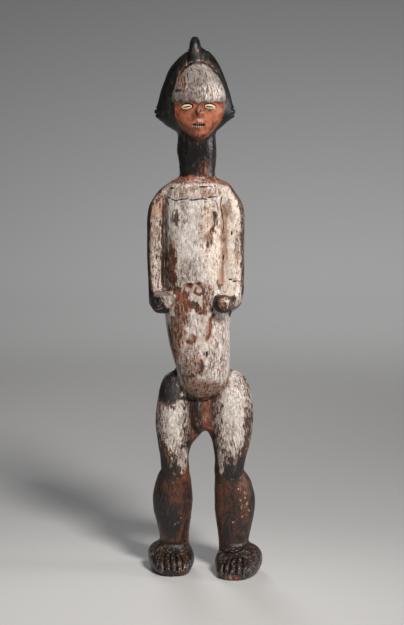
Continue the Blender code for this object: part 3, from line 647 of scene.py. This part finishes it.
# Marks along a path of (x, height): for each coat the amount and half the mark's width
strokes = [
    # round the top of the belly, a loop above it and two below
    ([(-47, 538), (-38, 524), (-26, 512), (-10, 505), (-4, 496)],
     {"kaolin": (0.22, 7), "red": (0.42, 7), "soot": (0.30, 5)}),
    ([(-4, 544), (4, 539), (3, 531), (-6, 527), (-14, 532), (-11, 540)], {"kaolin": (0.30, 2.6)}),
    ([(-27, 441), (-21, 438), (-14, 442), (-13, 448), (-18, 452)], {"kaolin": (0.18, 3)}),
    ([(-27, 440), (-21, 438), (-14, 442), (-13, 448), (-18, 452)], {"red": (0.3, 5), "rust": (1.0, 5)}),
    ([(21, 488), (15, 482), (16, 470), (14, 458), (10, 445)],
     {"kaolin": (0.22, 2.8), "red": (0.3, 5), "rust": (1.0, 6)}),
    ([(21, 488), (15, 470)], {"soot": (0.3, 3)}),
    # down the chest and beside the left arm
    ([(23, 664), (19, 648), (15, 632), (12, 608)], {"kaolin": (0.56, 5)}),
    ([(44, 690), (40, 650), (41, 600), (34, 550)], {"rust": (1.0, 8), "kaolin": (0.84, 6)}),
    # under the belly
    ([(-48, 332), (-20, 327), (4, 326), (32, 334)], {"kaolin": (0.25, 4), "red": (0.5, 5)}),
]
# Small chips where kaolin is left on the dark legs: (x, height, half width)
specks = [(-50, 90, 1.9), (-44, 94, 1.5), (-39, 100, 1.3), (68, 160, 1.5), (78, 152, 1.3), (73, 140, 1.8),
          (84, 132, 1.5), (66, 124, 1.2), (88, 118, 1.5), (58, 96, 1.2), (75, 106, 1.2), (80, 143, 1.2)]


# 1 in the middle of a tilted oval, falling to 0 a little past its edge, with the edge made uneven
def ovalWeight(x, z, mark, uneven):
    centreX, centreZ, wide, high, tilt = mark
    cos, sin = np.cos(np.radians(tilt)), np.sin(np.radians(tilt))
    u, v = x - centreX, z - centreZ
    level = np.hypot((u * cos + v * sin) / wide, (v * cos - u * sin) / high)
    return 1 - blendStep(0.55, 1.3, level + 0.45 * uneven)


# A groove across the surface, (1 - (reach / half)^2)^2: 1 along its middle, 0 from half its width on
def grooveAt(reach, half):
    return np.clip(1 - (reach / half) ** 2, 0, 1) ** 2


# Brings coats towards the given amounts, fully where the weight is 1 and not at all where it is 0
def brush(weight, **amounts):
    for name, amount in amounts.items():
        layer[name] += weight * (amount - layer[name])


edges = edgesOf(mesh)
normals = normalsOf(mesh, points)
x, y, z = points.T
front = blendStep(0.05, 0.45, -normals[:, 1])
names = list(allForms)
reach = np.stack([offSkin(allForms[name], points) for name in names])
owner = reach.argmin(0)
layers = np.array([finishes[name] for name in names])[owner]
layers = relaxed(layers, edges, [0.5, 0.5, 0.5])
layer = dict(zip(layerNames, layers.T))
onForm = {name: owner == i for i, name in enumerate(names)}
# frays the edges of marks, and varies the wear from place to place
uneven = softNoise(points, (6, 6, 9), 5) + 0.4 * softNoise(points, (3, 3, 5), 7)
broad = softNoise(points, (26, 26, 50), 9)

crack = np.zeros(len(points))     # the dark of narrow cuts, and painted shade in the fists' hollows, the finger folds and the toe gaps, for the paint
# along the normal: adze cuts, long grain, slow unevenness, the lines in the hair and the notched lobes
push = layer["adze"] * tools["adzeDepth"] * dishes(points, tools["adze"], seed=3)
facets = dishes(points, tools["neckFacet"], seed=8)
push += tools["neckDepth"] * onForm["neck"] * facets * blendStep(745, 765, z)
grainDepth = tools["grainDepth"] + tools["flakedDepth"] * layer["kaolin"]
push += grainDepth * softNoise(points, tools["grain"], seed=11)
offFace = 1 - 0.8 * (onForm["lowerFace"] | onForm["forehead"])
push += tools["waveDepth"] * softNoise(points, tools["wave"], seed=21) * offFace
hood = onForm["coiffure"] & (z > 915)
for lineX in tools["hairLines"]:
    push -= tools["hairLineDepth"] * grooveAt(np.abs(x - lineX), tools["hairLineHalf"]) * hood
lobes = ((x < -80) | ((x > 54) & (z > 800))) * (z > 840)
for height in tools["lobeNotches"]:
    push -= tools["notchDepth"] * grooveAt(np.abs(z - height), tools["notchHalf"]) * lobes

# straight back from the front: cuts, the hollows of the fists, the eyes and the mouth
back = np.zeros(len(points))
for path, half, depth in cuts:
    narrow = half < 3
    own = grooveAt(reachTo(path, x, z) + (0.5 * uneven if narrow else 0), half) * front
    back = np.maximum(back, own * depth)
    if narrow:
        crack = np.maximum(crack, own)
deepest = max(fist["depth"] for fist in fists.values())
hand = front * (y < -58) * (z < 533)
for fist in fists.values():
    away = np.hypot(x - fist["x"], z - fist["z"]) + 0.9 * uneven
    groove = grooveAt(away, fist["half"])
    back += fist["depth"] * groove * hand
    # painted shade in the fist's hollow, darker where it is deeper
    crack = np.maximum(crack, fist["depth"] / deepest * groove * hand)
    for ring in fist["folds"]:
        fold = grooveAt(np.abs(away - ring), tools["foldHalf"]) * hand * (0.6 + 0.4 * broad)
        back += tools["foldDepth"] * fold
        # painted shade in the folds of the fingers
        crack = np.maximum(crack, 0.7 * fold)
onFace = y < -20
for side in (-1, 1):
    across, up = x - face["x"] - side * face["eyeSpread"], z - face["eyeLine"]
    tilt = np.radians(side * tools["socketTilt"])
    across, up = across * np.cos(tilt) - up * np.sin(tilt), up * np.cos(tilt) + across * np.sin(tilt)
    socket = np.hypot(across / tools["socketHalf"][0], up / tools["socketHalf"][1])
    bowl = face["eyePlane"] + tools["socketDepth"] * np.sqrt(np.clip(1 - socket**2, 0, 1))
    back = np.where((socket < 1) & onFace, np.maximum(back, bowl - y), back)
    back -= tools["rimHeight"] * (grooveAt(np.abs(socket - 1.18), 0.22) * onFace)
    layer["soot"][:] = np.maximum(layer["soot"], 0.9 * (1 - blendStep(0.80, 1.0, socket)) * onFace)
mouthX, mouthZ = x - face["x"], z - face["mouthLine"]
slot = np.hypot(mouthX / tools["mouthHalf"][0], mouthZ / tools["mouthHalf"][1])
inMouth = (slot < 1) & (y < -40)
tooth = (np.cos(2 * np.pi * mouthX / tools["toothSpacing"]) > -0.45) & (np.abs(mouthZ) > tools["biteHalf"])
mouthDepth = np.where(tooth, tools["toothDepth"], tools["mouthDepth"])
back = np.where(inMouth, mouthDepth * np.clip(4 * (1 - slot), 0, 1), back)
layer["kaolin"][:] = np.where(inMouth & tooth, 0.95, layer["kaolin"])
# painted shade: black inside the mouth between the teeth
layer["soot"][:] = np.where(inMouth & ~tooth, 1.0, layer["soot"])
# five toes on each foot: grooves that fan out from the instep, deepest near their ends, with round tops
for name, form in feet.items():
    footX, footY, footZ = placed(form, points, back=True).T
    spacing = tools["toeSpacing"] + tools["toeSpread"] * blendStep(28, 64, -footY)
    turn = footX / spacing
    between = np.abs(turn - np.round(turn - 0.5) - 0.5) * spacing
    length = blendStep(34, 45, -footY) * blendStep(9, 14, footZ - 0.5 * np.abs(turn))
    toes = (onForm[name] & (footY < -30)) * length * (np.abs(turn) < 2.75)
    fold = grooveAt(between, tools["toeGapHalf"]) * toes
    rise = tools["toeRise"] * (1 - (between / spacing * 2 - 1) ** 2) * toes * (np.abs(turn) < 2.5)
    push += rise - tools["toeGapDepth"] * fold
    # painted shade in the gaps between the toes
    crack = np.maximum(crack, 0.8 * fold)
points = points + normals * push[:, None]
points[:, 1] += back
points[:, 2] = np.maximum(points[:, 2], 0)
print("carved")

# how hollow each place is, from the lie of its neighbours, for the dirt and painted shade in the hollows
smooth = relaxed(points, edges, [0.6] * 4)
normals = normalsOf(mesh, points)
hollow = np.clip(((smooth - points) * normals).sum(1) * 0.9, -1, 1)
hollow = relaxed(hollow, edges, [0.5])[:, 0]

# the paint, place by place
kaolin, soot, red, rust, cream = (layer[name] for name in ("kaolin", "soot", "red", "rust", "cream"))
# a brown band along the hairline with a thin white line in its middle
hairline = reachTo([(-41, 934), (-33, 945), (-20, 953), (-7, 956), (6, 954), (18, 946), (27, 935)], x, z)
brush((1 - blendStep(3, 7, hairline)) * (y < 0), soot=0.52, rust=0.4, red=0.30, kaolin=0.24)
brush((1 - blendStep(0.6, 1.7, hairline)) * (y < 0), kaolin=0.55)
# red and crumbling round the foot of the neck, brown on the shoulders
neckFoot = (1 - blendStep(741, 752, z + 4 * uneven)) * onForm["neck"] * (0.3 + 0.7 * front)
brush(neckFoot, soot=0.24, red=0.95)
shelf = blendStep(0.5, 0.85, normals[:, 2]) * (z > 690) * (z < 760)
brush(shelf, kaolin=0.46 + 0.15 * uneven, rust=0.9, red=0.3)
# ochre and some soot in the gap beside the right arm, dark outer sides of both arms
gap = (1 - blendStep(3, 9, np.abs(x + 68.5) + 2 * uneven)) * (z > 530) * (z < 703) * (y < 0)
brush(gap, kaolin=0.62 + 0.15 * broad, rust=0.35, soot=0.25)
outer = blendStep(0.35, 0.85, np.abs(normals[:, 0])) * (np.abs(x + 10) > 60)
kaolin -= 0.55 * outer * (z > 480) * (z < 730)
soot += 0.25 * outer * (z > 480) * (z < 730)
# the right fist is black below its cream top, with painted highlights of pale kaolin along two of its ridges,
# and a white thumb
hand = (y < -52) * (z < 535) * (z > 485) * (x < -60)
dark = hand * (1 - blendStep(521, 527, z + 2 * uneven))
away = np.hypot(x - fists["right"]["x"], z - fists["right"]["z"]) + 0.9 * uneven
ridgeHighlights = grooveAt(np.abs(away - 9.8), 1.9) + grooveAt(np.abs(away - 15.5), 1.9)
ridgeHighlights *= 1 - blendStep(-74, -69, x)
brush(dark, kaolin=0.03 + 0.5 * ridgeHighlights, soot=0.95 - 0.4 * ridgeHighlights)
brush(ovalWeight(x, z, (-64, 517, 8, 13, 10), uneven) * front * (y < -45), kaolin=0.97, cream=0.75)
# the left fist is brown, with painted light: palest on the lit side of the fold round its hollow, painted
# shade on the far side, and painted highlights on the knuckles
hand = (y < -52) * (z < 531) * (z > 485) * (x > 20)
away = np.hypot(x - 40, z - 513) + 2.4 * uneven + 1.5 * broad
knuckleHighlights = blendStep(50, 60, x)
lit = 0.5 + 0.5 * np.cos(np.arctan2(z - 513, x - 40) - 0.6)
brush(hand, kaolin=0.28 + 0.50 * lit * grooveAt(np.abs(away - 8.0), 6.5) + 0.30 * knuckleHighlights,
      soot=0.30 + 0.5 * (1 - 0.6 * lit) * blendStep(8, 13, away) - 0.2 * knuckleHighlights,
      rust=np.where(away < 5, 1.0, 0.4))
# white thighs give way to dark wood at the sides and towards the knees
thighForms = ("rightThigh", "leftThigh", "pelvis", "rightArch", "leftArch")
thigh = np.any([onForm[name] for name in thighForms], axis=0)
fade = 1 - blendStep(182, 280, z + 10 * broad + 8 * uneven)
sides = blendStep(0.25, 0.75, np.abs(normals[:, 0]))
kaolin -= thigh * (0.62 * fade + 0.36 * sides)
# red wood shows between the thighs, and what hangs there is dark and handled
crotch = (1 - blendStep(12, 24, np.abs(x + 2))) * (z < 335) * (z > 235)
brush(crotch, kaolin=0.32, red=0.30, rust=0.8, soot=0.22)
shaft = (1 - blendStep(5, 10, np.abs(x + 7.5) + 1.5 * uneven)) * (z < 333) * (z > 262) * front
brush(shaft, soot=0.80, kaolin=0.36, polish=0.6)
# patchy soot on the calves, more at the knees
soot += (onForm["rightCalf"] | onForm["leftCalf"]) * (0.05 + 0.14 * broad + 0.16 * uneven)
soot += (1 - blendStep(12, 28, np.abs(z - 199))) * front * 0.3
# plainer and more worn behind
behind = blendStep(0.0, 0.5, normals[:, 1]) * (z > 210) * (z < 740)
brush(behind, kaolin=0.50 + 0.75 * broad, rust=0.40, soot=0.35)
layer["polish"] += 0.3 * onForm["lowerFace"]
# where fine upright lines run through the white, closest above the brow
comb = 0.32 * (onForm["torso"] | thigh) + onForm["forehead"] * (0.66 - 0.22 * blendStep(900, 945, z))

# then the marks
for markX, markZ, tilt, coats in marks:
    for name, (amount, wide, high) in coats.items():
        brush(ovalWeight(x, z, (markX, markZ, wide, high, tilt), uneven) * front, **{name: amount})
for path, coats in strokes:
    reach = reachTo(path, x, z)
    for name, (amount, half) in coats.items():
        brush((1 - blendStep(0.5, 1.3, reach / half + 0.5 * uneven)) * front, **{name: amount})
for speckX, speckZ, half in specks:
    reach = np.hypot(x - speckX, (z - speckZ) * 0.8)
    brush((1 - blendStep(0.6, 1.3, reach / half)) * front, kaolin=0.9)

for values in layer.values():
    np.clip(values, 0, 1, out=values)
setPoints(mesh, points)


# Up to three values for each point of the mesh, kept under one name for the material
def keepValues(mesh, name, *values):
    unused = [np.ones(len(mesh.vertices))] * (4 - len(values))
    attribute = mesh.attributes.new(name, "FLOAT_COLOR", "POINT")
    attribute.data.foreach_set("color", np.stack([*values, *unused], -1).ravel())


keepValues(mesh, "paint", kaolin, red, soot)
keepValues(mesh, "tones", rust, cream, layer["polish"])
keepValues(mesh, "wearAndShade", crack, hollow * 0.5 + 0.5, comb)
print("painted:", len(points), "points")

# The table's axes lie a little off the frame's: the shells tell by how much
low, high = (np.array(corner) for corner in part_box("eye_shell_right"))
shift = (low + high) / 2 - eyePlace(-1)
shift[2] = 0
mesh.transform(Matrix.Translation(shift))


# A colour written as on a paint card, turned into the linear numbers that the shader wants
def paintColour(card):
    parts = [int(card[i:i + 2], 16) / 255 for i in (0, 2, 4)]
    return (*[p / 12.92 if p <= 0.04045 else ((p + 0.055) / 1.055) ** 2.4 for p in parts], 1)


# One node with its settings. A list fills its inputs in their order and a dictionary by name: a node or a
# socket is linked, a string is a card colour, and None leaves the input as it is.
def addNode(tree, kind, inputs=(), **settings):
    node = tree.nodes.new("ShaderNode" + kind)
    for name, value in settings.items():
        setattr(node, name, value)
    named = isinstance(inputs, dict)
    sockets = [node.inputs[name] for name in inputs] if named else [s for s in node.inputs if s.enabled]
    for socket, value in zip(sockets, inputs.values() if named else inputs):
        if isinstance(value, bpy.types.Node):
            value = next(s for s in value.outputs if s.enabled)
        if isinstance(value, bpy.types.NodeSocket):
            tree.links.new(value, socket)
        elif value is not None:
            socket.default_value = paintColour(value) if isinstance(value, str) else value
    return node


# An empty material, and its tree of nodes
def newMaterial(name):
    material = bpy.data.materials.new(name)
    material.use_nodes = True
    material.node_tree.nodes.clear()
    return material, material.node_tree


kaolinFlakes = {"streak": 1.6, "blotch": 0.9, "fine": 0.7}
paintLook = {
    "cards": {
        "kaolinGrey": "c4bbb4", "kaolinCream": "e8d6c6", "kaolinBright": "f2ebe4", "kaolinMauve": "ab9992",
        "dirt": "6a5344", "dustGrey": "6b615a", "lineBrown": "57443c", "ochre": "a0704f",
        "terracotta": "b4684a", "terracottaDark": "6e3d2a", "woodBrown": "533527", "woodDark": "241913",
        "rustWood": "84462a", "sootBlack": "131110", "sootGrey": "272422", "crackAndShadeDark": "120c08"},
    # patterns in metres, across, front to back and upright, and their octaves. The grain, the lines, the
    # ticks and the fine specks are drawn two to three times as coarse as real ones, so that they show.
    "patterns": {
        "streak": ((0.0025, 0.0025, 0.0085), 4), "blotch": ((0.008, 0.008, 0.011), 4),
        "fine": ((0.0012, 0.0012, 0.0018), 2), "grain": ((0.0011, 0.0011, 0.040), 3),
        "patch": ((0.020, 0.020, 0.034), 3), "tick": ((0.0013, 0.0013, 0.0062), 3),
        "line": ((0.0019, 0.0019, 0.0150), 2), "bend": ((0.0021, 0.0021, 0.0048), 2)},
    "craze": (0.0048, 0.0048, 0.0110),        # metres, the plates between the fine cracks
    # how much of each coat shows: what the place holds, what each pattern adds or takes, from which sum to
    # which, and the amounts below and above
    "amounts": {
        "kaolinCover": ("kaolin", kaolinFlakes, (0.46, 0.54), (0, 1)),
        "redCover": ("red", {"streak": 1.3, "blotch": 1.3, "fine": 0.8}, (0.42, 0.60), (0, 1)),
        "sootCover": ("soot", {"patch": 0.8, "blotch": 1.0, "streak": 1.1, "fine": 0.8}, (0.30, 0.70),
                      (0, 1)),
        "grainDark": (None, {"grain": 1}, (-0.12, 0.12), (0, 1)),
        "rustStreak": (None, {"streak": 1}, (-0.12, 0.12), (0, 1)),
        "rustCover": ("rust", {"blotch": 1.2}, (0.35, 0.75), (0, 1)),
        "ochreBright": (None, {"blotch": 1, "fine": 0.5}, (-0.16, 0.10), (0, 1)),
        "greySoot": (None, {"blotch": 1}, (-0.05, 0.25), (0, 1)),
        "creamy": ("cream", {"blotch": 0.9}, (0.3, 0.8), (0, 1)),
        "mauve": (None, {"patch": 1}, (0.0, 0.16), (0, 0.6)),
        "bright": (None, {"streak": 1, "fine": 0.5}, (0.0, 0.12), (0, 0.85)),
        "thin": ("kaolin", kaolinFlakes, (0.52, 0.92), (0.50, 0)),
        "stain": ("rust", {"blotch": 2.7, "streak": 1.3}, (0.40, 1.20), (0, 0.75)),
        "flakeEdge": ("kaolin", kaolinFlakes, (0.50, 0.68), (0.85, 0)),
        "dusty": ("soot", {"streak": 1.5, "blotch": 1.5, "fine": 0.8}, (0.42, 1.02), (0, 0.85)),
        "lined": ("comb", {"line": 2.2, "fine": 0.5}, (0.72, 0.98), (0, 0.8)),
        # dirt together with painted shade, deepest in the hollows
        "dirtAndShadeInHollow": ("hollow", {}, (0.53, 0.68), (0, 0.6)),
        "pits": (None, {"fine": 1, "streak": 0.4}, (0.11, 0.17), (0, 0.65)),
        "ticks": (None, {"tick": 1, "patch": 0.5}, (0.14, 0.21), (0, 0.65)),
        "crazed": (None, {"patch": 1, "blotch": 0.7}, (-0.02, 0.10), (0, 0.7)),
        # cracks darkened, with painted shade in the fists' hollows and in the folds of fingers and toes
        "crackedAndShaded": ("crack", {"fine": 0.6, "streak": 0.5}, (0.40, 0.56), (0, 1)),
        "bareRough": ("polish", {"blotch": -0.9, "fine": -0.7}, (0, 1), (0.62, 0.26)),
    },
    # each coat from the bare wood up: its name, what it goes over, what goes on and how much of that
    "coats": [
        ("wood", "woodDark", "woodBrown", "grainDark"), ("rusty", "woodBrown", "rustWood", "rustStreak"),
        ("wood", "wood", "rusty", "rustCover"), ("ochreCoat", "terracottaDark", "terracotta", "ochreBright"),
        ("sootCoat", "sootBlack", "sootGrey", "greySoot"), ("under", "wood", "ochreCoat", "redCover"),
        ("under", "under", "sootCoat", "sootCover"),
        ("white", "kaolinGrey", "kaolinCream", "creamy"), ("white", "white", "kaolinMauve", "mauve"),
        ("white", "white", "kaolinBright", "bright"), ("white", "white", "under", "thin"),
        ("white", "white", "ochre", "stain"), ("rim", "dirt", "ochre", "rust"),
        ("white", "white", "dustGrey", "dusty"), ("white", "white", "lineBrown", "lined"),
        ("white", "white", "rim", "flakeEdge"), ("white", "white", "dirt", "dirtAndShadeInHollow"),
        ("white", "white", "dirt", "pits"), ("white", "white", "woodBrown", "ticks"),
        ("white", "white", "woodDark", "plateGaps"), ("colour", "under", "white", "kaolinCover"),
        ("colour", "colour", "crackAndShadeDark", "crackedAndShaded"),
    ],
    # what stands up and what lies deep, and the depth of it all in metres
    "relief": {"kaolinCover": 0.55, "fine": 0.5, "streak": 0.9, "grain": 0.35, "crackedAndShaded": -1.2,
               "plateGaps": -0.35},
    "reliefDepth": 0.0007,
    "kaolinRough": 0.9,
}


# Kaolin, ochre and soot over carved wood. Each layer covers where its painted amount plus streaky noise
# passes a half, so its edges flake along the grain. It gives chalky whites beside dark, glossy wear.
def kaolinOnWood(look):
    material, tree = newMaterial("flakingKaolinOnCarvedWood")
    place = addNode(tree, "TexCoord").outputs["Object"]
    parts = dict(look["cards"])
    for name, (size, octaves) in look["patterns"].items():
        sized = addNode(tree, "Mapping", {"Vector": place, "Scale": [1 / v for v in size]})
        parts[name] = addNode(tree, "TexNoise", {"Vector": sized.outputs[0], "Scale": 1.0, "Detail": octaves})
    for name, kept in (("paint", ("kaolin", "red", "soot")), ("tones", ("rust", "cream", "polish")),
                       ("wearAndShade", ("crack", "hollow", "comb"))):
        split = addNode(tree, "SeparateColor", [addNode(tree, "Attribute", attribute_name=name)])
        parts.update(zip(kept, split.outputs))
    for name, (base, patterns, span, shown) in look["amounts"].items():
        total = parts.get(base, 0.0)
        for pattern, weight in patterns.items():
            total = addNode(tree, "Math", [parts[pattern], weight, total], operation="MULTIPLY_ADD")
        middle = sum(patterns.values()) / 2
        parts[name] = addNode(tree, "MapRange", [total, span[0] + middle, span[1] + middle, *shown],
                              interpolation_type="SMOOTHSTEP")
    # the fine cracks run between bent plates, where the paint is crazed at all
    plates = addNode(tree, "Mapping", {"Vector": place, "Scale": [1 / v for v in look["craze"]]})
    bent = addNode(tree, "VectorMath", [plates, parts["bend"].outputs[1]], operation="ADD")
    net = addNode(tree, "TexVoronoi", {"Vector": bent.outputs[0], "Scale": 1.0}, feature="DISTANCE_TO_EDGE")
    gaps = addNode(tree, "MapRange", [net, 0.02, 0.075, 1, 0], interpolation_type="SMOOTHSTEP")
    parts["plateGaps"] = addNode(tree, "Math", [gaps, parts["crazed"]], operation="MULTIPLY")
    for name, below, over, amount in look["coats"]:
        parts[name] = addNode(tree, "Mix", [parts[amount], parts[below], parts[over]], data_type="RGBA")
    height = 0.0
    for name, weight in look["relief"].items():
        height = addNode(tree, "Math", [parts[name], weight, height], operation="MULTIPLY_ADD")
    bump = addNode(tree, "Bump", {"Strength": 0.8, "Distance": look["reliefDepth"], "Height": height})
    # chalky where white, a dull shine on the handled black and brown
    rough = addNode(tree, "Mix", [parts["kaolinCover"], parts["bareRough"], look["kaolinRough"]])
    surface = addNode(tree, "BsdfPrincipled", {
        "Base Color": parts["colour"], "Roughness": rough, "Normal": bump})
    addNode(tree, "OutputMaterial", [surface])
    return material


carving = finishedPiece("carvedFigure", mesh, kaolinOnWood(paintLook))
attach(carving, "root")
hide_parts("figure")
print("carving placed")

cowrie = {
    # metres
    "length": 0.0165, "height": 0.0086, "thickness": 0.0080, "slitHalf": 0.0008, "slitDepth": 0.0014,
    "lipRise": 0.00022, "flattened": 0.00035,
    "taper": 0.08, "teeth": 13, "tilt": 8,     # share of the height, how many, degrees
    "shell": "e2d4b4", "slit": "3a2718", "rim": "b99c72", "stainsPerMetre": 420.0, "rough": 0.34,
}


# A cowrie shown base outwards, latitude by longitude: an egg, half size * (sin a, cos a cos b, cos a sin b),
# narrower at one end, with a slit along it that is deepest in its middle line and whose lips rise and fall
# It gives the points and how dark the painted shade and dirt lie on each.
def cowriePoints(side):
    latitude = np.linspace(-np.pi / 2, np.pi / 2, 74)[1:-1, None]
    longitude = np.linspace(0, 2 * np.pi, 120, endpoint=False)
    along = np.broadcast_to(np.sin(latitude), (72, 120))
    out = np.cos(latitude) * np.cos(longitude)
    egg = 1 - cowrie["taper"] * (1 + side * along) / 2
    height = np.cos(latitude) * np.sin(longitude) * egg * cowrie["height"] / 2
    reach = np.clip(1 - (along / 0.86) ** 2, 0, 1)
    teeth = 0.5 + 0.5 * np.cos(along * np.pi * cowrie["teeth"])
    inner = np.abs(height) / cowrie["slitHalf"]
    groove = np.clip(1 - inner**2 / 2.2, 0, 1) * reach
    lips = np.exp(-((inner - 2.2) / 0.9) ** 2) * reach * (0.35 + 0.65 * teeth)
    depth = cowrie["slitDepth"] * groove - cowrie["lipRise"] * lips
    flat = cowrie["flattened"] * np.clip(out, 0, 1) ** 3
    thick = -out * cowrie["thickness"] / 2 + np.where(out > 0, depth + flat, 0)
    # painted shade with some dirt, in the slit and between the teeth
    dirt = np.where(out > 0, np.maximum(groove, 0.6 * (lips * (1 - teeth))), 0)
    return np.stack([along * cowrie["length"] / 2, thick, height], -1), dirt


# Worn cowrie: cream, brighter on the lips, brown in the slit and between the teeth as painted shade with some
# dirt, with a soft gloss
def wornCowrie(look):
    material, tree = newMaterial("wornCowrieShell")
    place = addNode(tree, "TexCoord").outputs["Object"]
    slit = addNode(tree, "SeparateColor", [addNode(tree, "Attribute", attribute_name="slit")])
    stains = addNode(tree, "TexNoise", {"Vector": place, "Scale": look["stainsPerMetre"], "Detail": 3.0})
    spread = addNode(tree, "MapRange", [stains, 0.45, 0.70, 0.0, 0.5])
    base = addNode(tree, "Mix", [spread, look["shell"], look["rim"]], data_type="RGBA")
    deep = addNode(tree, "MapRange", [slit, 0.08, 0.40])
    colour = addNode(tree, "Mix", [deep, base, look["slit"]], data_type="RGBA")
    surface = addNode(tree, "BsdfPrincipled", {"Base Color": colour, "Roughness": look["rough"]})
    addNode(tree, "OutputMaterial", [surface])
    return material


shellMaterial = wornCowrie(cowrie)
for name, node, side in (("cowrieRight", "eye_shell_right", -1), ("cowrieLeft", "eye_shell_left", 1)):
    rings, dirt = cowriePoints(side)
    shellPoints, shellFaces = closedStack(rings)
    shellMesh = meshOf(name, shellPoints, shellFaces)
    keepValues(shellMesh, "slit", np.concatenate([dirt.ravel(), [0, 0]]))
    turned = Matrix.Rotation(np.radians(side * cowrie["tilt"]), 4, "Y")
    shellMesh.transform(Matrix.Translation(eyePlace(side) + shift) @ turned)
    shell = finishedPiece(name, shellMesh, shellMaterial)
    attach(shell, "root")
    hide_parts(node)
print("cowries set")

studio = {
    "flat": 3.4, "curve": 2.6, "wallTop": 5.2,      # metres, from the middle out and up
    # a painted pool of light: the floor is palest round a place in front of the figure, and fades over this
    # reach in metres into painted shade
    "floor": "cacac9", "paintedShadeAround": "b0b0b0", "wall": "8c8d8e", "rough": 0.9, "gloss": 0.1,
    "paintedLightAt": (-0.12, -0.30), "paintedLightReach": (0.15, 0.80), "paintedShadeRise": (0.05, 1.2),
    "air": "b8babd", "airStrength": 0.22,
}
# place, aim, size in metres, watts, colour, spread in degrees
lamps = {
    "key": ((1.15, -2.6, 2.75), (0, 0, 0.40), 0.8, 52, "fffaf5", 110),
    "fill": ((-2.4, -2.2, 1.3), (0, 0, 0.45), 1.6, 1.2, "f6f8ff", 110),
    "edge": ((1.9, -0.1, 0.85), (0, 0, 0.5), 0.7, 1.7, "ffffff", 60),
    "wallGlow": ((0.45, 2.4, 3.0), (0.4, 4.3, 0.0), 1.6, 32, "ffffff", 120),
    "back": ((-0.5, 2.9, 1.4), (0, 0, 0.45), 1.0, 6, "ffffff", 60),
    "frontGlow": ((-0.6, -3.6, 3.0), (-0.4, -5.6, 0.4), 1.6, 26, "ffffff", 120),
}


# Puts a lamp or a camera in its place, turned to its aim
def aimed(name, data, place, aim):
    thing = bpy.data.objects.new(name, data)
    thing.location = place
    thing.rotation_euler = (Vector(aim) - Vector(place)).to_track_quat("-Z", "Y").to_euler()
    bpy.context.scene.collection.objects.link(thing)
    return thing


# A round area lamp
def softLight(name, place, aim, size, watts, colour, spread):
    data = bpy.data.lights.new(name, "AREA")
    data.shape = "DISK"
    data.size = size
    data.energy = watts
    data.color = paintColour(colour)[:3]
    data.spread = np.radians(spread)
    return aimed(name, data, place, aim)


for name, lamp in lamps.items():
    light = softLight(name + "Light", *lamp)
    # the two behind the figure draw no bright rim on it
    light.visible_glossy = name not in ("back", "wallGlow")
# a round floor whose rim curves up into a wall, so that no edge of it is seen from any side
bend = np.linspace(0, np.pi / 2, 24)
flat, curve = studio["flat"], studio["curve"]
rimReach = np.concatenate([[0.4, 1.5], flat + curve * np.sin(bend), [flat + curve]])
rimHeight = np.concatenate([[0, 0], curve * (1 - np.cos(bend)), [studio["wallTop"]]])
lap = np.linspace(0, 2 * np.pi, 96, endpoint=False)
rings = np.stack([rimReach[:, None] * np.cos(lap), rimReach[:, None] * np.sin(lap),
                  np.broadcast_to(rimHeight[:, None], (len(rimReach), 96))], -1)
floorPoints, floorFaces = closedStack(rings)
# without the fan at the top, so the studio is open above
openFaces = [f for f in floorFaces if max(f) < len(floorPoints) - 1]
# pale paper with a painted pool of light, palest in front of the figure, and painted shade that turns it
# greyer away from there and as it rises into the wall
floorMaterial, floorTree = newMaterial("paleMattFloorWithPaintedLight")
floorCentre = addNode(floorTree, "TexCoord").outputs["Object"]
floorPlace = addNode(floorTree, "SeparateXYZ", [floorCentre])
fromPalest = [-v for v in studio["paintedLightAt"]] + [0]
flatWay = addNode(floorTree, "VectorMath", [floorCentre, [1, 1, 0], fromPalest], operation="MULTIPLY_ADD")
reach = addNode(floorTree, "VectorMath", [flatWay], operation="LENGTH")
spread = addNode(floorTree, "MapRange", [reach, *studio["paintedLightReach"]], interpolation_type="SMOOTHSTEP")
near = addNode(floorTree, "Mix", [spread, studio["floor"], studio["paintedShadeAround"]], data_type="RGBA")
rise = addNode(floorTree, "MapRange", [floorPlace.outputs["Z"], *studio["paintedShadeRise"]])
floorColourWithPaintedLight = addNode(floorTree, "Mix", [rise, near, studio["wall"]], data_type="RGBA")
floorSurface = addNode(floorTree, "BsdfPrincipled", {
    "Base Color": floorColourWithPaintedLight, "Roughness": studio["rough"], "Specular IOR Level": studio["gloss"]})
addNode(floorTree, "OutputMaterial", [floorSurface])
floor = finishedPiece("paleFloor", meshOf("paleFloor", floorPoints[:-1], openFaces), floorMaterial)

air = bpy.data.worlds.new("greyAir")
air.use_nodes = True
air.node_tree.nodes.clear()
airGlow = addNode(air.node_tree, "Background", [studio["air"], studio["airStrength"]])
addNode(air.node_tree, "OutputWorld", [airGlow])
bpy.context.scene.world = air
bpy.context.scene.view_settings.view_transform = "Standard"

view = {"lens": 120.46, "sensor": 36,     # millimetres
        "place": (shift[0], shift[1] - 3.2, 0.80), "aim": (shift[0], shift[1], 0.4023)}
cameraData = bpy.data.cameras.new("photoCamera")
cameraData.lens = view["lens"]
cameraData.sensor_width = view["sensor"]
bpy.context.scene.camera = aimed("photoCamera", cameraData, view["place"], view["aim"])
print("lights, floor and camera set")
